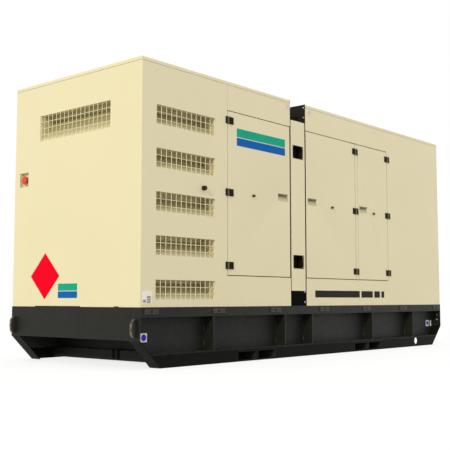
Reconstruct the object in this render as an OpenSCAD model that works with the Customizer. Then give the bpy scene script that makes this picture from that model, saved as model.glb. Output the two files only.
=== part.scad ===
// Sound-proofed diesel generator set: a black steel base frame with fork pockets and a
// fuel tank carries two sheet-metal canopy modules, joined by a recessed black link.
// Frame: millimetres, +Z up, +X from the air-inlet end to the outlet end, -Y is the front
// (the side with the three working doors). The origin is on the floor, at the centre.

/* [Canopy] */
// Length of the air-inlet module
inlet_l = 2052; // [1950:1:2400]
// Length of the outlet module, which houses the engine
outlet_l = 2950; // [2700:1:3400]
// Open gap between the two modules
gap_l = 259; // [220:1:340]
// Width of the canopy and of the base
body_w = 1750; // [1600:1:2000]
// Height of the canopy above the base
canopy_h = 2079; // [2000:1:2300]
// Thickness of the lined canopy walls
wall_t = 50; // [45:1:70]
// Thickness of the roof panels, which lie on the walls
roof_t = 36; // [25:1:50]

/* [Doors] */
// Height of the door opening's lower edge above the base
door_low = 277; // [240:1:320]
// Height of the door openings
door_h = 1529; // [1400:1:1560]
// Thickness of a door leaf
door_t = 40; // [30:1:42]
// Seam between a leaf and its frame
door_gap = 8; // [7:1:12]
// Width of the control door's opening
control_door_w = 968; // [850:1:1000]
// Width of the engine door's opening
engine_door_w = 954; // [880:1:1040]
// Width of the service door's opening
service_door_w = 655; // [560:1:720]
// Width of the post between the engine and service doors
post_w = 46; // [40:1:70]

/* [Hinges and latches] */
// Width of an open hinge, across both leaves
hinge_w = 108; // [90:1:130]
// Width of the frame's leaf in the control door's hinges, from the pin
control_frame_leaf = 28; // [20:1:54]
// Height of a hinge
hinge_h = 66; // [54:1:90]
// Thickness of a hinge leaf
hinge_t = 6; // [4:1:7]
// Radius of a hinge knuckle
knuckle_r = 9; // [8:1:11]
// Radius of a hinge pin
pin_r = 4; // [3:0.5:5]
// Width of a paddle latch's cup
cup_w = 165; // [130:1:190]
// Height of a paddle latch's cup
cup_h = 71; // [60:1:90]
// Depth of a paddle latch's cup
cup_d = 24; // [16:1:28]
// Height of a cup's middle above a door's middle
cup_rise = 27; // [0:1:60]
// Radius of a door lock's barrel
lock_r = 17; // [12:1:22]

/* [Air grilles] */
// Width of a side grille opening
grille_w = 736; // [600:1:780]
// Height of a side grille opening
grille_h = 165; // [130:1:200]
// Rise from one side grille to the next
grille_pitch = 368; // [320:1:375]
// Height of the lowest side grille above the base
grille_low = 61; // [50:1:90]
// Distance of the side grilles from the canopy's end
grille_inset = 176; // [150:1:200]
// Number of side grilles in the column
grille_count = 5; // [3:1:5]
// Width of an end wall's grille opening
end_grille_w = 980; // [800:1:1100]
// Height of an end wall's grille opening
end_grille_h = 238; // [180:1:280]
// Height of an end grille's lower edge above the base
end_grille_low = 1524; // [1400:1:1580]
// Distance between the wires of a grille's mesh
mesh_pitch = 59; // [40:1:80]
// Thickness of a mesh wire
wire_t = 6; // [4:0.5:8]

/* [Base frame] */
// Height of the base frame
base_h = 502; // [440:1:560]
// Depth of a base rail
rail_d = 125; // [110:1:150]
// Height of a rail's top band
band_h = 82; // [70:1:100]
// Height of a rail's lower skirt
skirt_h = 118; // [112:1:135]
// Thickness of the base frame's plates
plate_t = 10; // [8:1:14]
// Height of an end beam
end_beam_h = 271; // [240:1:300]
// Length of the sloping cut at each end of a rail
slope_l = 236; // [180:1:280]
// Clear width of a fork pocket
pocket_w = 255; // [220:1:280]
// Clear height of a fork pocket
pocket_h = 80; // [70:1:84]
// Wall thickness of a fork tube
tube_t = 8; // [6:1:10]
// Distance between the two pockets of a pair, centre to centre
pocket_pitch = 294; // [290:1:330]
// Distance from the inlet end to the first pair of pockets
pair_inlet_x = 1508; // [1400:1:1600]
// Distance from the inlet end to the second pair of pockets
pair_outlet_x = 3490; // [3400:1:3600]
// Radius of the tie-down hole in each skirt
tie_r = 41; // [30:1:45]
// Distance of the tie-down hole from the outlet end
tie_inset = 660; // [600:1:700]

/* [Hidden] */

// Facets of a round, and how far a cut runs past a face
$fn = 48;
over = 1;

// Colours
paint = "wheat";
black = [0.12, 0.12, 0.12];

// Places along the length
total_l = inlet_l + gap_l + outlet_l;
x_inlet = -total_l / 2;
x_gap = x_inlet + inlet_l;
x_outlet = x_gap + gap_l;
x_end = x_inlet + total_l;
y_front = -body_w / 2;
canopy_top = base_h + canopy_h;
wall_top = canopy_top - roof_t;

// Doors: seams, hinge axes and the bulkheads' face sheets
sheet_t = 4;
door_z = base_h + door_low;
door_top = door_z + door_h;
control_x = x_gap - sheet_t - control_door_w;
engine_x = x_outlet + sheet_t;
post_x = engine_x + engine_door_w;
service_x = post_x + post_w;
plain_x = service_x + service_door_w;
bulkhead_t = 40;
knuckle_lift = 1;
axis_out = knuckle_r + knuckle_lift;
pin_play = 0.05;
knuckle_gap = 0.5;
cup_inset = 28;
cup_z = door_z + door_h / 2 + cup_rise - cup_h / 2;
// Hinges stand at three heights on each door
hinge_inset = 94;
hinge_zs = [door_z + hinge_inset, door_z + door_h / 2, door_top - hinge_inset];

// Base frame
ledge_z = skirt_h;
band_z = base_h - band_h;
end_beam_z = base_h - end_beam_h;
tube_w = pocket_w + 2 * tube_t;
tube_h = pocket_h + 2 * tube_t;
// Distances of the rail's ribs from the inlet end
rib_xs = [892, 1945, 2408, 3586, 4527];
tank_inset_inlet = 500;
tank_inset_outlet = 840;
tie_margin = 2;
strip_play = 0.2;
beam_z = 17;
beam_h = ledge_z - plate_t - beam_z;
beam_t = 40;
deck_t = 12;
clip_w = 160;
clip_h = 43;
clip_t = 8;
clip_drop = 16;
clip_count = 7;
clip_inset = 130;

// A thing made for the front side, mirrored to the rear side
module rear() {
    mirror([0, 1, 0]) children();
}

module both_sides() {
    children();
    rear() children();
}

module both_ends() {
    children();
    mirror([1, 0, 0]) children();
}

// A block of the front wall's thickness, from x_lo to x_hi and z_lo to z_hi
module wall_block(x_lo, x_hi, z_lo, z_hi, depth = wall_t) {
    translate([x_lo, y_front, z_lo]) cube([x_hi - x_lo, depth, z_hi - z_lo]);
}

// ---------------------------------------------------------------- base frame

// The rail's outline seen from the side, between its end strips
module rail_outline() {
    tip = total_l / 2 - slope_l - plate_t - strip_play;
    top = total_l / 2 - plate_t;
    polygon([
        [-top, base_h], [-top, end_beam_z + strip_play], [-tip, 0],
        [tip, 0], [top, end_beam_z + strip_play], [top, base_h]
    ]);
}

// A side outline, extruded into the front side from its face
module from_front(depth, inset = 0) {
    translate([0, y_front + inset + depth, 0]) rotate([90, 0, 0]) linear_extrude(depth) children();
}

module slice(z_lo, z_hi) {
    intersection() {
        rail_outline();
        translate([x_inlet, z_lo]) square([total_l, z_hi - z_lo]);
    }
}

module rail_bands() {
    color(black) both_sides() from_front(rail_d) slice(band_z, base_h);
}

module rail_webs() {
    color(black) both_sides() from_front(plate_t, rail_d - plate_t) slice(ledge_z, band_z);
}

module rail_ledges() {
    color(black) both_sides() from_front(rail_d) slice(ledge_z - plate_t, ledge_z);
}

module pocket_cuts() {
    for (pair_x = [pair_inlet_x, pair_outlet_x])
        for (side = [-1, 1])
            translate([x_inlet + pair_x + side * pocket_pitch / 2 - tube_w / 2, y_front - over, -over])
                cube([tube_w, plate_t + 2 * over, tube_h + over]);
}

module rail_skirt() {
    difference() {
        from_front(plate_t) slice(0, ledge_z - plate_t);
        pocket_cuts();
        translate([x_end - tie_inset, y_front - over, ledge_z - plate_t - tie_r - tie_margin])
            rotate([-90, 0, 0]) cylinder(r = tie_r, h = plate_t + 2 * over);
    }
}

module rail_skirts() {
    color(black) both_sides() rail_skirt();
}

module rail_ribs() {
    color(black) both_sides()
        for (rib_x = rib_xs)
            wall_block(x_inlet + rib_x, x_inlet + rib_x + plate_t, ledge_z, band_z,
                rail_d - plate_t);
}

// A plate that closes the rail along its sloping cut
module end_strip() {
    from_front(rail_d) polygon([
        [x_inlet + slope_l, 0], [x_inlet, end_beam_z],
        [x_inlet + plate_t, end_beam_z], [x_inlet + slope_l + plate_t, 0]
    ]);
}

module rail_end_strips() {
    color(black) both_ends() both_sides() end_strip();
}

// Half-round ears stand out of each end plate
ear_r = 81;
ear_reach = 50;
ear_t = 25;
ear_inset = 50;
ear_drop = 172;
flange_l = 100;

module ear() {
    intersection() {
        translate([x_inlet + ear_r - ear_reach, y_front + ear_inset - ear_t / 2, base_h - ear_drop])
            rotate([-90, 0, 0]) cylinder(r = ear_r, h = ear_t);
        translate([x_inlet - ear_reach, y_front, 0]) cube([ear_reach + over, body_w, base_h]);
    }
}

module end_beam() {
    union() {
        translate([x_inlet, y_front, end_beam_z]) cube([plate_t, body_w, end_beam_h]);
        translate([x_inlet, y_front + rail_d, end_beam_z])
            cube([flange_l, body_w - 2 * rail_d, plate_t]);
        both_sides() ear();
    }
}

module end_beams() {
    color(black) both_ends() end_beam();
}

module cross_beam(x) {
    translate([x, y_front + plate_t, beam_z])
        cube([beam_t, body_w - 2 * plate_t, beam_h]);
}

module cross_beams() {
    color(black) {
        cross_beam(x_inlet + tank_inset_inlet - beam_t);
        cross_beam(x_end - tank_inset_outlet);
    }
}

module fuel_tank() {
    color(black) translate([x_inlet + tank_inset_inlet, y_front + rail_d, tube_h])
        cube([total_l - tank_inset_inlet - tank_inset_outlet, body_w - 2 * rail_d,
            base_h - deck_t - tube_h]);
}

module fork_tube_pair(pair_x) {
    for (side = [-1, 1])
        translate([x_inlet + pair_x + side * pocket_pitch / 2, y_front, 0])
            rotate([-90, 0, 0]) linear_extrude(body_w) difference() {
                translate([-tube_w / 2, -tube_h]) square([tube_w, tube_h]);
                translate([-pocket_w / 2, -tube_h + tube_t]) square([pocket_w, pocket_h]);
            }
}

module fork_tubes() {
    color(black) {
        fork_tube_pair(pair_inlet_x);
        fork_tube_pair(pair_outlet_x);
    }
}

module deck() {
    color(black) translate([x_inlet + plate_t, y_front + rail_d, base_h - deck_t])
        cube([total_l - 2 * plate_t, body_w - 2 * rail_d, deck_t]);
}

module clip_row() {
    pitch = (total_l - 2 * clip_inset) / (clip_count - 1);
    for (i = [0:clip_count - 1])
        translate([x_inlet + clip_inset + i * pitch - clip_w / 2, y_front - clip_t,
            base_h - clip_drop - clip_h])
            cube([clip_w, clip_t, clip_h]);
}

module canopy_clips() {
    color([0.35, 0.35, 0.35]) both_sides() clip_row();
}

// ---------------------------------------------------------------- canopy

stop_size = 134;
stop_d = 38;
stop_inset = 149;
stop_y = body_w / 2 - stop_inset;
// Height of the emergency stop above the base
stop_rise = 1117;
stop_z = base_h + stop_rise;
stop_r = 40;
stop_cap_h = 14;
stop_stem_r = 22;
stop_stem_h = 19;

// A panel in plan at the inlet end, with its outer corners rounded
corner_r = 12;

module end_plan(depth, inset = 0) {
    x_lo = x_inlet + inset;
    y_lo = y_front + inset;
    w = body_w - 2 * inset;
    translate([x_lo + corner_r, y_lo]) square([depth - corner_r - inset, w]);
    translate([x_lo, y_lo + corner_r]) square([depth - inset, w - 2 * corner_r]);
    for (y = [y_lo + corner_r, y_lo + w - corner_r])
        translate([x_lo + corner_r, y]) circle(r = corner_r);
}

module end_wall() {
    difference() {
        translate([0, 0, base_h]) linear_extrude(wall_top - base_h) end_plan(wall_t);
        translate([x_inlet - over, -end_grille_w / 2, base_h + end_grille_low])
            cube([wall_t + 2 * over, end_grille_w, end_grille_h]);
    }
}

module end_wall_inlet() {
    color(paint) difference() {
        end_wall();
        translate([x_inlet - over, stop_y - stop_size / 2, stop_z])
            cube([stop_d + over, stop_size, stop_size]);
    }
}

module end_wall_outlet() {
    color(paint) mirror([1, 0, 0]) end_wall();
}

module at_side_grilles() {
    for (i = [0:grille_count - 1])
        translate([x_inlet + grille_inset, y_front, base_h + grille_low + i * grille_pitch])
            children();
}

module at_end_grille() {
    translate([x_inlet, end_grille_w / 2, base_h + end_grille_low]) rotate([0, 0, -90]) children();
}

module grille_wall_front() {
    color(paint) difference() {
        wall_block(x_inlet + wall_t, control_x, base_h, wall_top);
        at_side_grilles() translate([0, -over, 0]) cube([grille_w, wall_t + 2 * over, grille_h]);
    }
}

module grille_wall_rear() {
    rear() grille_wall_front();
}

// The seam between the control door's header and the grille wall
seam_w = 3;
seam_d = 8;

module header_seam() {
    translate([control_x - over, y_front - over, door_top - over])
        cube([seam_w + over, seam_d + over, wall_top - door_top + 2 * over]);
}

// The stop flange behind a leaf's edges, around an opening from x_lo to x_hi
rebate_t = 4;
rebate_w = 20;

module door_stop(x_lo, x_hi) {
    from_front(rebate_t, wall_t - rebate_t) difference() {
        translate([x_lo, door_z - over]) square([x_hi - x_lo, door_h + 2 * over]);
        translate([x_lo + rebate_w, door_z + rebate_w])
            square([x_hi - x_lo - 2 * rebate_w, door_h - 2 * rebate_w]);
    }
}

module door_frame_inlet_front() {
    color(paint) {
        door_stop(control_x, x_gap - sheet_t);
        wall_block(control_x, x_gap - sheet_t, base_h, door_z);
        difference() {
            wall_block(control_x, x_gap - sheet_t, door_top, wall_top);
            header_seam();
        }
    }
}

module door_frame_inlet_rear() {
    rear() door_frame_inlet_front();
}

post_d = 80;

module door_frame_outlet_front() {
    color(paint) {
        door_stop(engine_x, post_x);
        door_stop(service_x, plain_x);
        wall_block(engine_x, plain_x, base_h, door_z);
        wall_block(engine_x, plain_x, door_top, wall_top);
        wall_block(post_x, service_x, door_z, door_top, post_d);
    }
}

module door_frame_outlet_rear() {
    rear() door_frame_outlet_front();
}

module plain_wall_front() {
    color(paint) wall_block(plain_x, x_end - wall_t, base_h, wall_top);
}

module plain_wall_rear() {
    rear() plain_wall_front();
}

tunnel_inset = 250;
tunnel_drop = 160;
tunnel_t = 20;

// The passage through both bulkheads, inside the link tunnel
module passage(x, l) {
    translate([x, y_front + tunnel_inset + tunnel_t, base_h - over])
        cube([l, body_w - 2 * (tunnel_inset + tunnel_t), canopy_h - tunnel_drop - tunnel_t + over]);
}

module bulkhead(x_sheet, x_body) {
    color(black) difference() {
        union() {
            translate([x_sheet, y_front, base_h]) cube([sheet_t, body_w, canopy_h]);
            translate([x_body, y_front + wall_t, base_h])
                cube([bulkhead_t - sheet_t, body_w - 2 * wall_t, wall_top - base_h]);
        }
        passage(min(x_sheet, x_body) - over, bulkhead_t + 2 * over);
    }
}

module bulkhead_inlet() {
    bulkhead(x_gap - sheet_t, x_gap - bulkhead_t);
}

module bulkhead_outlet() {
    bulkhead(x_outlet, x_outlet + sheet_t);
}

module link_tunnel() {
    color(black) difference() {
        translate([x_gap, y_front + tunnel_inset, base_h])
            cube([gap_l, body_w - 2 * tunnel_inset, canopy_h - tunnel_drop]);
        passage(x_gap - over, gap_l + 2 * over);
    }
}

strip_low = 150;
strip_h = 1727;
strip_t = 3;
strip_gap = 12;
strip_fold = 40;
slot_w = 164;
slot_h = 124;
slot_zs = [378, 1495];
slot_d = 80;
slot_corner = 18;
post_top_drop = 77;

module slot_cuts(depth) {
    for (z = slot_zs)
        from_front(depth + over, -over)
            translate([x_gap + gap_l / 2 - slot_w / 2 + slot_corner, base_h + z + slot_corner])
                slot_outline();
}

// A slot outline with rounded corners, built from circles and squares
module slot_outline() {
    w = slot_w - 2 * slot_corner;
    h = slot_h - 2 * slot_corner;
    union() {
        translate([-slot_corner, 0]) square([w + 2 * slot_corner, h]);
        translate([0, -slot_corner]) square([w, h + 2 * slot_corner]);
        for (x = [0, w])
            for (z = [0, h])
                translate([x, z]) circle(r = slot_corner);
    }
}

module cover_strip() {
    x_lo = x_gap + strip_gap;
    x_hi = x_outlet - strip_gap;
    z_lo = base_h + strip_low;
    z_hi = z_lo + strip_h;
    difference() {
        union() {
            wall_block(x_lo, x_hi, z_lo, z_hi, strip_t);
            wall_block(x_lo, x_lo + strip_t, z_lo, z_hi, strip_fold);
            wall_block(x_hi - strip_t, x_hi, z_lo, z_hi, strip_fold);
        }
        slot_cuts(strip_t + over);
    }
}

module cover_strips() {
    color(paint) both_sides() cover_strip();
}

module lift_post() {
    post_l = gap_l - 2 * (strip_gap + strip_t);
    difference() {
        translate([x_gap + (gap_l - post_l) / 2, y_front + strip_t, base_h])
            cube([post_l, tunnel_inset - strip_t, strip_low + strip_h - post_top_drop]);
        slot_cuts(slot_d);
    }
}

module lift_posts() {
    color(black) both_sides() lift_post();
}

// A roof panel: its edge stands over a narrow shadow gap at the walls' top
eave_gap = 4;
eave_d = 6;

module roof_panel(l) {
    translate([0, 0, wall_top]) linear_extrude(eave_gap) end_plan(l, eave_d);
    translate([0, 0, wall_top + eave_gap]) linear_extrude(roof_t - eave_gap) end_plan(l);
}

module roof_inlet() {
    color(paint) roof_panel(inlet_l - sheet_t);
}

module roof_outlet() {
    color(paint) mirror([1, 0, 0]) roof_panel(outlet_l - sheet_t);
}

// A grille's mesh: square wires that cross in the opening, with equal side cells
screen_inset = 4;

module screen(w, h) {
    columns = round(w / mesh_pitch);
    pitch_x = w / columns;
    rows = floor((h - wire_t) / mesh_pitch);
    translate([0, screen_inset + wire_t, 0]) rotate([90, 0, 0]) linear_extrude(wire_t) union() {
        for (i = [1:columns - 1])
            translate([i * pitch_x - wire_t / 2, 0]) square([wire_t, h]);
        for (j = [1:rows])
            translate([0, h - j * mesh_pitch - wire_t / 2]) square([w, wire_t]);
    }
}

module side_screens() {
    color(paint) both_sides() at_side_grilles() screen(grille_w, grille_h);
}

module end_screens() {
    color(paint) both_ends() at_end_grille() screen(end_grille_w, end_grille_h);
}

// A sloping baffle behind a grille: a plate that rises inwards, between two cheeks
baffle_t = 4;
baffle_d = 150;
baffle_in = screen_inset + wire_t + 2;
baffle_slot = 30;

module baffle(w, h) {
    rise = h - baffle_slot;
    rotate([90, 0, 90]) {
        linear_extrude(w) polygon([
            [baffle_in, 0], [baffle_in + baffle_t, 0],
            [baffle_d, rise - baffle_t], [baffle_d, rise]
        ]);
        for (x = [0, w - baffle_t])
            translate([0, 0, x]) linear_extrude(baffle_t)
                polygon([[baffle_in, 0], [baffle_d, rise], [baffle_d, h], [baffle_in, h]]);
    }
}

module intake_baffles() {
    color(paint) {
        both_sides() at_side_grilles() baffle(grille_w, grille_h);
        both_ends() at_end_grille() baffle(end_grille_w, end_grille_h);
    }
}

module emergency_stop() {
    color("red") translate([x_inlet + stop_d, stop_y, stop_z + stop_size / 2])
        rotate([0, -90, 0]) {
            cylinder(r = stop_stem_r, h = stop_stem_h);
            translate([0, 0, stop_stem_h]) cylinder(r = stop_r, h = stop_cap_h);
        }
}

wall_lock_x = 754;
wall_lock_z = 1044;
wall_lock_r = 24;
wall_lock_t = 34;

module wall_lock() {
    translate([x_inlet + wall_lock_x, y_front, base_h + wall_lock_z])
        rotate([90, 0, 0]) cylinder(r = wall_lock_r, h = wall_lock_t);
}

module wall_locks() {
    color(black) both_sides() wall_lock();
}

// ---------------------------------------------------------------- doors

// side is 1 when the latch stands at the leaf's +X edge, and -1 at its -X edge
function cup_x(x, w, side) =
    side > 0 ? x + w - door_gap - cup_inset - cup_w : x + door_gap + cup_inset;

module leaf(x, w, side) {
    difference() {
        wall_block(x + door_gap, x + w - door_gap, door_z + door_gap, door_top - door_gap, door_t);
        translate([cup_x(x, w, side), y_front - over, cup_z])
            cube([cup_w, cup_d + over, cup_h]);
    }
}

// A paddle in its cup, and the lock's barrel at half the leaf's height
paddle_d = 12;
paddle_rim = 7;
lock_t = 6;
// The control door's lock, from its hinge side
control_lock_x = 377;

module latch(x, w, side, lock_x) {
    translate([cup_x(x, w, side) + paddle_rim, y_front + cup_d - paddle_d, cup_z + paddle_rim])
        cube([cup_w - 2 * paddle_rim, paddle_d, cup_h - 2 * paddle_rim]);
    translate([x + lock_x, y_front, door_z + door_h / 2])
        rotate([90, 0, 0]) cylinder(r = lock_r, h = lock_t);
}

// The frame's half of a hinge: its leaf of width w, two knuckles and the pin. side points to the door
module hinge_fixed(side, w = hinge_w / 2) {
    third = hinge_h / 3;
    x_leaf = side > 0 ? -w : 0;
    translate([0, 0, -hinge_h / 2]) {
        difference() {
            translate([x_leaf, axis_out - hinge_t, 0]) cube([w, hinge_t, hinge_h]);
            translate([0, 0, third - knuckle_gap])
                cylinder(r = knuckle_r + knuckle_lift, h = third + 2 * knuckle_gap);
        }
        for (z = [0, 2 * third])
            translate([0, 0, z + (z > 0 ? knuckle_gap : 0)])
                cylinder(r = knuckle_r, h = third - knuckle_gap);
        cylinder(r = pin_r, h = hinge_h);
    }
}

// The door's half of a hinge: its leaf of width w and the middle knuckle, bored for the pin
module hinge_moving(side, w = hinge_w / 2) {
    third = hinge_h / 3;
    x_leaf = side > 0 ? 0 : -w;
    translate([0, 0, -hinge_h / 2]) difference() {
        union() {
            difference() {
                translate([x_leaf, axis_out - hinge_t, 0]) cube([w, hinge_t, hinge_h]);
                for (z = [-knuckle_gap, 2 * third])
                    translate([0, 0, z])
                        cylinder(r = knuckle_r + knuckle_lift, h = third + knuckle_gap);
            }
            translate([0, 0, third]) cylinder(r = knuckle_r, h = third);
        }
        translate([0, 0, -over]) cylinder(r = pin_r + pin_play, h = hinge_h + 2 * over);
    }
}

module at_hinges(x) {
    for (z = hinge_zs) translate([x, y_front - axis_out, z]) children();
}

control_axis = control_x + door_gap / 2;
engine_axis = post_x - door_gap / 2;
service_axis = plain_x - door_gap / 2;

module door_control() {
    color(paint) leaf(control_x, control_door_w, 1);
}

module door_engine() {
    color(paint) leaf(engine_x, engine_door_w, -1);
}

module door_service() {
    color(paint) leaf(service_x, service_door_w, -1);
}

module fittings_control() {
    color(black) {
        latch(control_x, control_door_w, 1, control_lock_x);
        at_hinges(control_axis) hinge_moving(1, hinge_w - control_frame_leaf);
    }
}

module fittings_engine() {
    color(black) {
        latch(engine_x, engine_door_w, -1, engine_door_w / 2);
        at_hinges(engine_axis) hinge_moving(-1);
    }
}

module fittings_service() {
    color(black) {
        latch(service_x, service_door_w, -1, service_door_w / 2);
        at_hinges(service_axis) hinge_moving(-1);
    }
}

module frame_hinge_set() {
    at_hinges(control_axis) hinge_fixed(1, control_frame_leaf);
    at_hinges(engine_axis) hinge_fixed(-1);
    at_hinges(service_axis) hinge_fixed(-1);
}

module hinges_frame() {
    color(black) frame_hinge_set();
}

module rear_doors() {
    color(paint) rear() {
        leaf(control_x, control_door_w, 1);
        leaf(engine_x, engine_door_w, -1);
        leaf(service_x, service_door_w, -1);
    }
}

module rear_fittings() {
    color(black) rear() {
        fittings_control();
        fittings_engine();
        fittings_service();
        frame_hinge_set();
    }
}

// ---------------------------------------------------------------- engine set

// Height of the shaft above the base
shaft_rise = 560;
shaft_z = base_h + shaft_rise;
alternator_r = 330;
alternator_l = 820;
alternator_inset = 620;
alternator_x = x_gap - alternator_inset;
// Foot of the alternator and the terminal box on its top: length, width, distance from its end
foot = [560, 440, 120];
terminal_box = [420, 400, 160];
terminal_box_h = 140;
block_l = 1350;
block_w = 520;
block_h = 560;
// Height of the engine block's foot above the base
block_rise = 260;
block_z = base_h + block_rise;
block_x = alternator_x + alternator_l;
flywheel_l = 120;
// Sump below the block: width, and distance from each end
sump_w = 360;
sump_inset = 260;
// Cylinder banks, which lean outwards from the block's top
bank_lean = 35;
bank_w = 230;
bank_h = 330;
bank_inset = 180;
// Height of the banks' inner edge above the base
bank_rise = 700;
bank_z = base_h + bank_rise;
radiator_w = 1400;
radiator_h = 1500;
radiator_t = 180;
radiator_gap = 330;
radiator_x = block_x + block_l + radiator_gap;
fan_r = 560;
fan_t = 140;
// Height of the fan's centre above the shaft
fan_rise = 190;
fan_z = shaft_z + fan_rise;
fan_shaft_r = 60;

// A round along +X
module along_x(x, z, r, l) {
    translate([x, 0, z]) rotate([0, 90, 0]) cylinder(r = r, h = l);
}

// A block centred across the width
module centred_block(x, z, size) {
    translate([x, -size[1] / 2, z]) cube(size);
}

module alternator() {
    color("steelblue") {
        along_x(alternator_x, shaft_z, alternator_r, alternator_l);
        centred_block(alternator_x + foot[2], base_h, [foot[0], foot[1], shaft_z - base_h]);
        centred_block(alternator_x + terminal_box[2], shaft_z,
            [terminal_box[0], terminal_box[1], alternator_r + terminal_box_h]);
    }
}

module engine_block() {
    color("steelblue") {
        along_x(block_x, shaft_z, alternator_r, flywheel_l);
        centred_block(block_x + flywheel_l, block_z, [block_l - flywheel_l, block_w, block_h]);
        centred_block(block_x + sump_inset, base_h,
            [block_l - 2 * sump_inset, sump_w, block_z - base_h]);
    }
}

module cylinder_banks() {
    color("steelblue") both_sides()
        translate([block_x + bank_inset, -block_w / 2, bank_z]) rotate([bank_lean, 0, 0])
            translate([0, -bank_w, 0]) cube([block_l - bank_inset - flywheel_l, bank_w, bank_h]);
}

module radiator() {
    color(black) {
        centred_block(radiator_x, base_h, [radiator_t, radiator_w, radiator_h]);
        along_x(radiator_x - fan_t, fan_z, fan_r, fan_t);
        along_x(block_x + block_l, fan_z, fan_shaft_r, radiator_gap);
    }
}

rail_bands();
rail_webs();
rail_ledges();
rail_skirts();
rail_ribs();
rail_end_strips();
end_beams();
cross_beams();
fuel_tank();
fork_tubes();
deck();
canopy_clips();
end_wall_inlet();
end_wall_outlet();
grille_wall_front();
grille_wall_rear();
door_frame_inlet_front();
door_frame_inlet_rear();
door_frame_outlet_front();
door_frame_outlet_rear();
plain_wall_front();
plain_wall_rear();
bulkhead_inlet();
bulkhead_outlet();
link_tunnel();
lift_posts();
cover_strips();
roof_inlet();
roof_outlet();
side_screens();
end_screens();
intake_baffles();
emergency_stop();
wall_locks();
door_control();
door_engine();
door_service();
fittings_control();
fittings_engine();
fittings_service();
hinges_frame();
rear_doors();
rear_fittings();
alternator();
engine_block();
cylinder_banks();
radiator();
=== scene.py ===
"""The looks of a sound-proofed generator set: finishes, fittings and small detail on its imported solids.

Everything is in metres in the part's own frame. +X runs from the air-inlet end to the outlet end, -Y is the
front with the three working doors, and the floor is at Z = 0.
"""

from functools import reduce
import math

import bmesh
import bpy
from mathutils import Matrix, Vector


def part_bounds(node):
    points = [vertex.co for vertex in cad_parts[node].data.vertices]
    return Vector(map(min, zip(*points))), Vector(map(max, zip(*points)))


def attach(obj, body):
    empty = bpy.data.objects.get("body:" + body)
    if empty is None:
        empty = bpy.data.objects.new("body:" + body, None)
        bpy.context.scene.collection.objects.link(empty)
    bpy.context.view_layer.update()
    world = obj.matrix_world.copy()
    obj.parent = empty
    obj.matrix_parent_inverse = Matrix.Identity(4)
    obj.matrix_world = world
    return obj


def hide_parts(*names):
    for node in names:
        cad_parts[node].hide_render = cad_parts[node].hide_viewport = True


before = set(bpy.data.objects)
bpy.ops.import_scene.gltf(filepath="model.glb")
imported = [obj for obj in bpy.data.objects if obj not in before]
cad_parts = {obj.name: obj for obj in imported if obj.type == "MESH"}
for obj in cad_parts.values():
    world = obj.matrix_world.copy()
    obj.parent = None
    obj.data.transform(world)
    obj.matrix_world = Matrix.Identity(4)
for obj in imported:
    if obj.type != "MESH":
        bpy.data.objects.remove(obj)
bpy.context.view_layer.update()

RIGHT, BACK, UP = Vector((1, 0, 0)), Vector((0, 1, 0)), Vector((0, 0, 1))
LEFT, FORTH = -RIGHT, -BACK

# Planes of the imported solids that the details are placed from
INLET_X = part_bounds("end_wall_inlet")[0].x
OUTLET_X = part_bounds("end_wall_outlet")[1].x
GAP_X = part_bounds("bulkhead_inlet")[1].x
LINK_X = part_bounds("bulkhead_outlet")[0].x
TOP_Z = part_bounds("roof_inlet")[1].z
wall_lo, wall_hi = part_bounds("grille_wall_front")
FRONT_Y, DECK_Z = wall_lo.y, wall_lo.z
WALL_TOP_Z, WALL_T = wall_hi.z, wall_hi.y - FRONT_Y
WEB_Y = FRONT_Y + 0.115
RIB_T = 0.01

door_lo, door_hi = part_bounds("door_control")
HINGE_IN = 0.086
HINGE_ZS = (door_lo.z + HINGE_IN, (door_lo.z + door_hi.z) / 2, door_hi.z - HINGE_IN)
CUP_W, CUP_H, CUP_D, CUP_INSET = 0.165, 0.071, 0.024, 0.028
CUP_MID_Z = HINGE_ZS[1] + 0.027


def front(x, z, out=0.0):
    """A point on the front face, x from the inlet end and z above the canopy's foot."""
    return Vector((INLET_X + x, FRONT_Y - out, DECK_Z + z))


def inlet(y, z):
    """A point on the inlet end face, y from the front face and z above the canopy's foot."""
    return Vector((INLET_X, FRONT_Y + y, DECK_Z + z))


# ---------------------------------------- finishes


class Nodes:
    """A node tree, built in few words."""

    def __init__(self, tree):
        self.tree = tree

    def node(self, kind, values=None, **settings):
        """A new node, with values or links for its inputs. A colour is three numbers."""
        made = self.tree.nodes.new(kind)
        for key, value in settings.items():
            setattr(made, key, value)
        for key, value in (values or {}).items():
            socket = made.inputs[key]
            if isinstance(value, bpy.types.NodeSocket):
                self.tree.links.new(value, socket)
            else:
                socket.default_value = (*value, 1) if socket.type == "RGBA" else value
        return made

    def maths(self, operation, a, b=0.0):
        return self.node("ShaderNodeMath", {0: a, 1: b}, operation=operation).outputs[0]

    def times(self, a, b):
        return self.maths("MULTIPLY", a, b)

    def ramp(self, value, start, end, low=0.0, high=1.0):
        """value from start to end, as low to high, held at both ends."""
        values = {"Value": value, "From Min": start, "From Max": end, "To Min": low, "To Max": high}
        return self.node("ShaderNodeMapRange", values).outputs[0]

    def seen(self):
        """1 where the camera looks, straight or by a gloss or through glass, and 0 for other light."""
        rays = self.node("ShaderNodeLightPath").outputs
        straight = self.maths("MAXIMUM", rays["Is Camera Ray"], rays["Is Glossy Ray"])
        return self.maths("MAXIMUM", straight, rays["Is Transmission Ray"])


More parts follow.
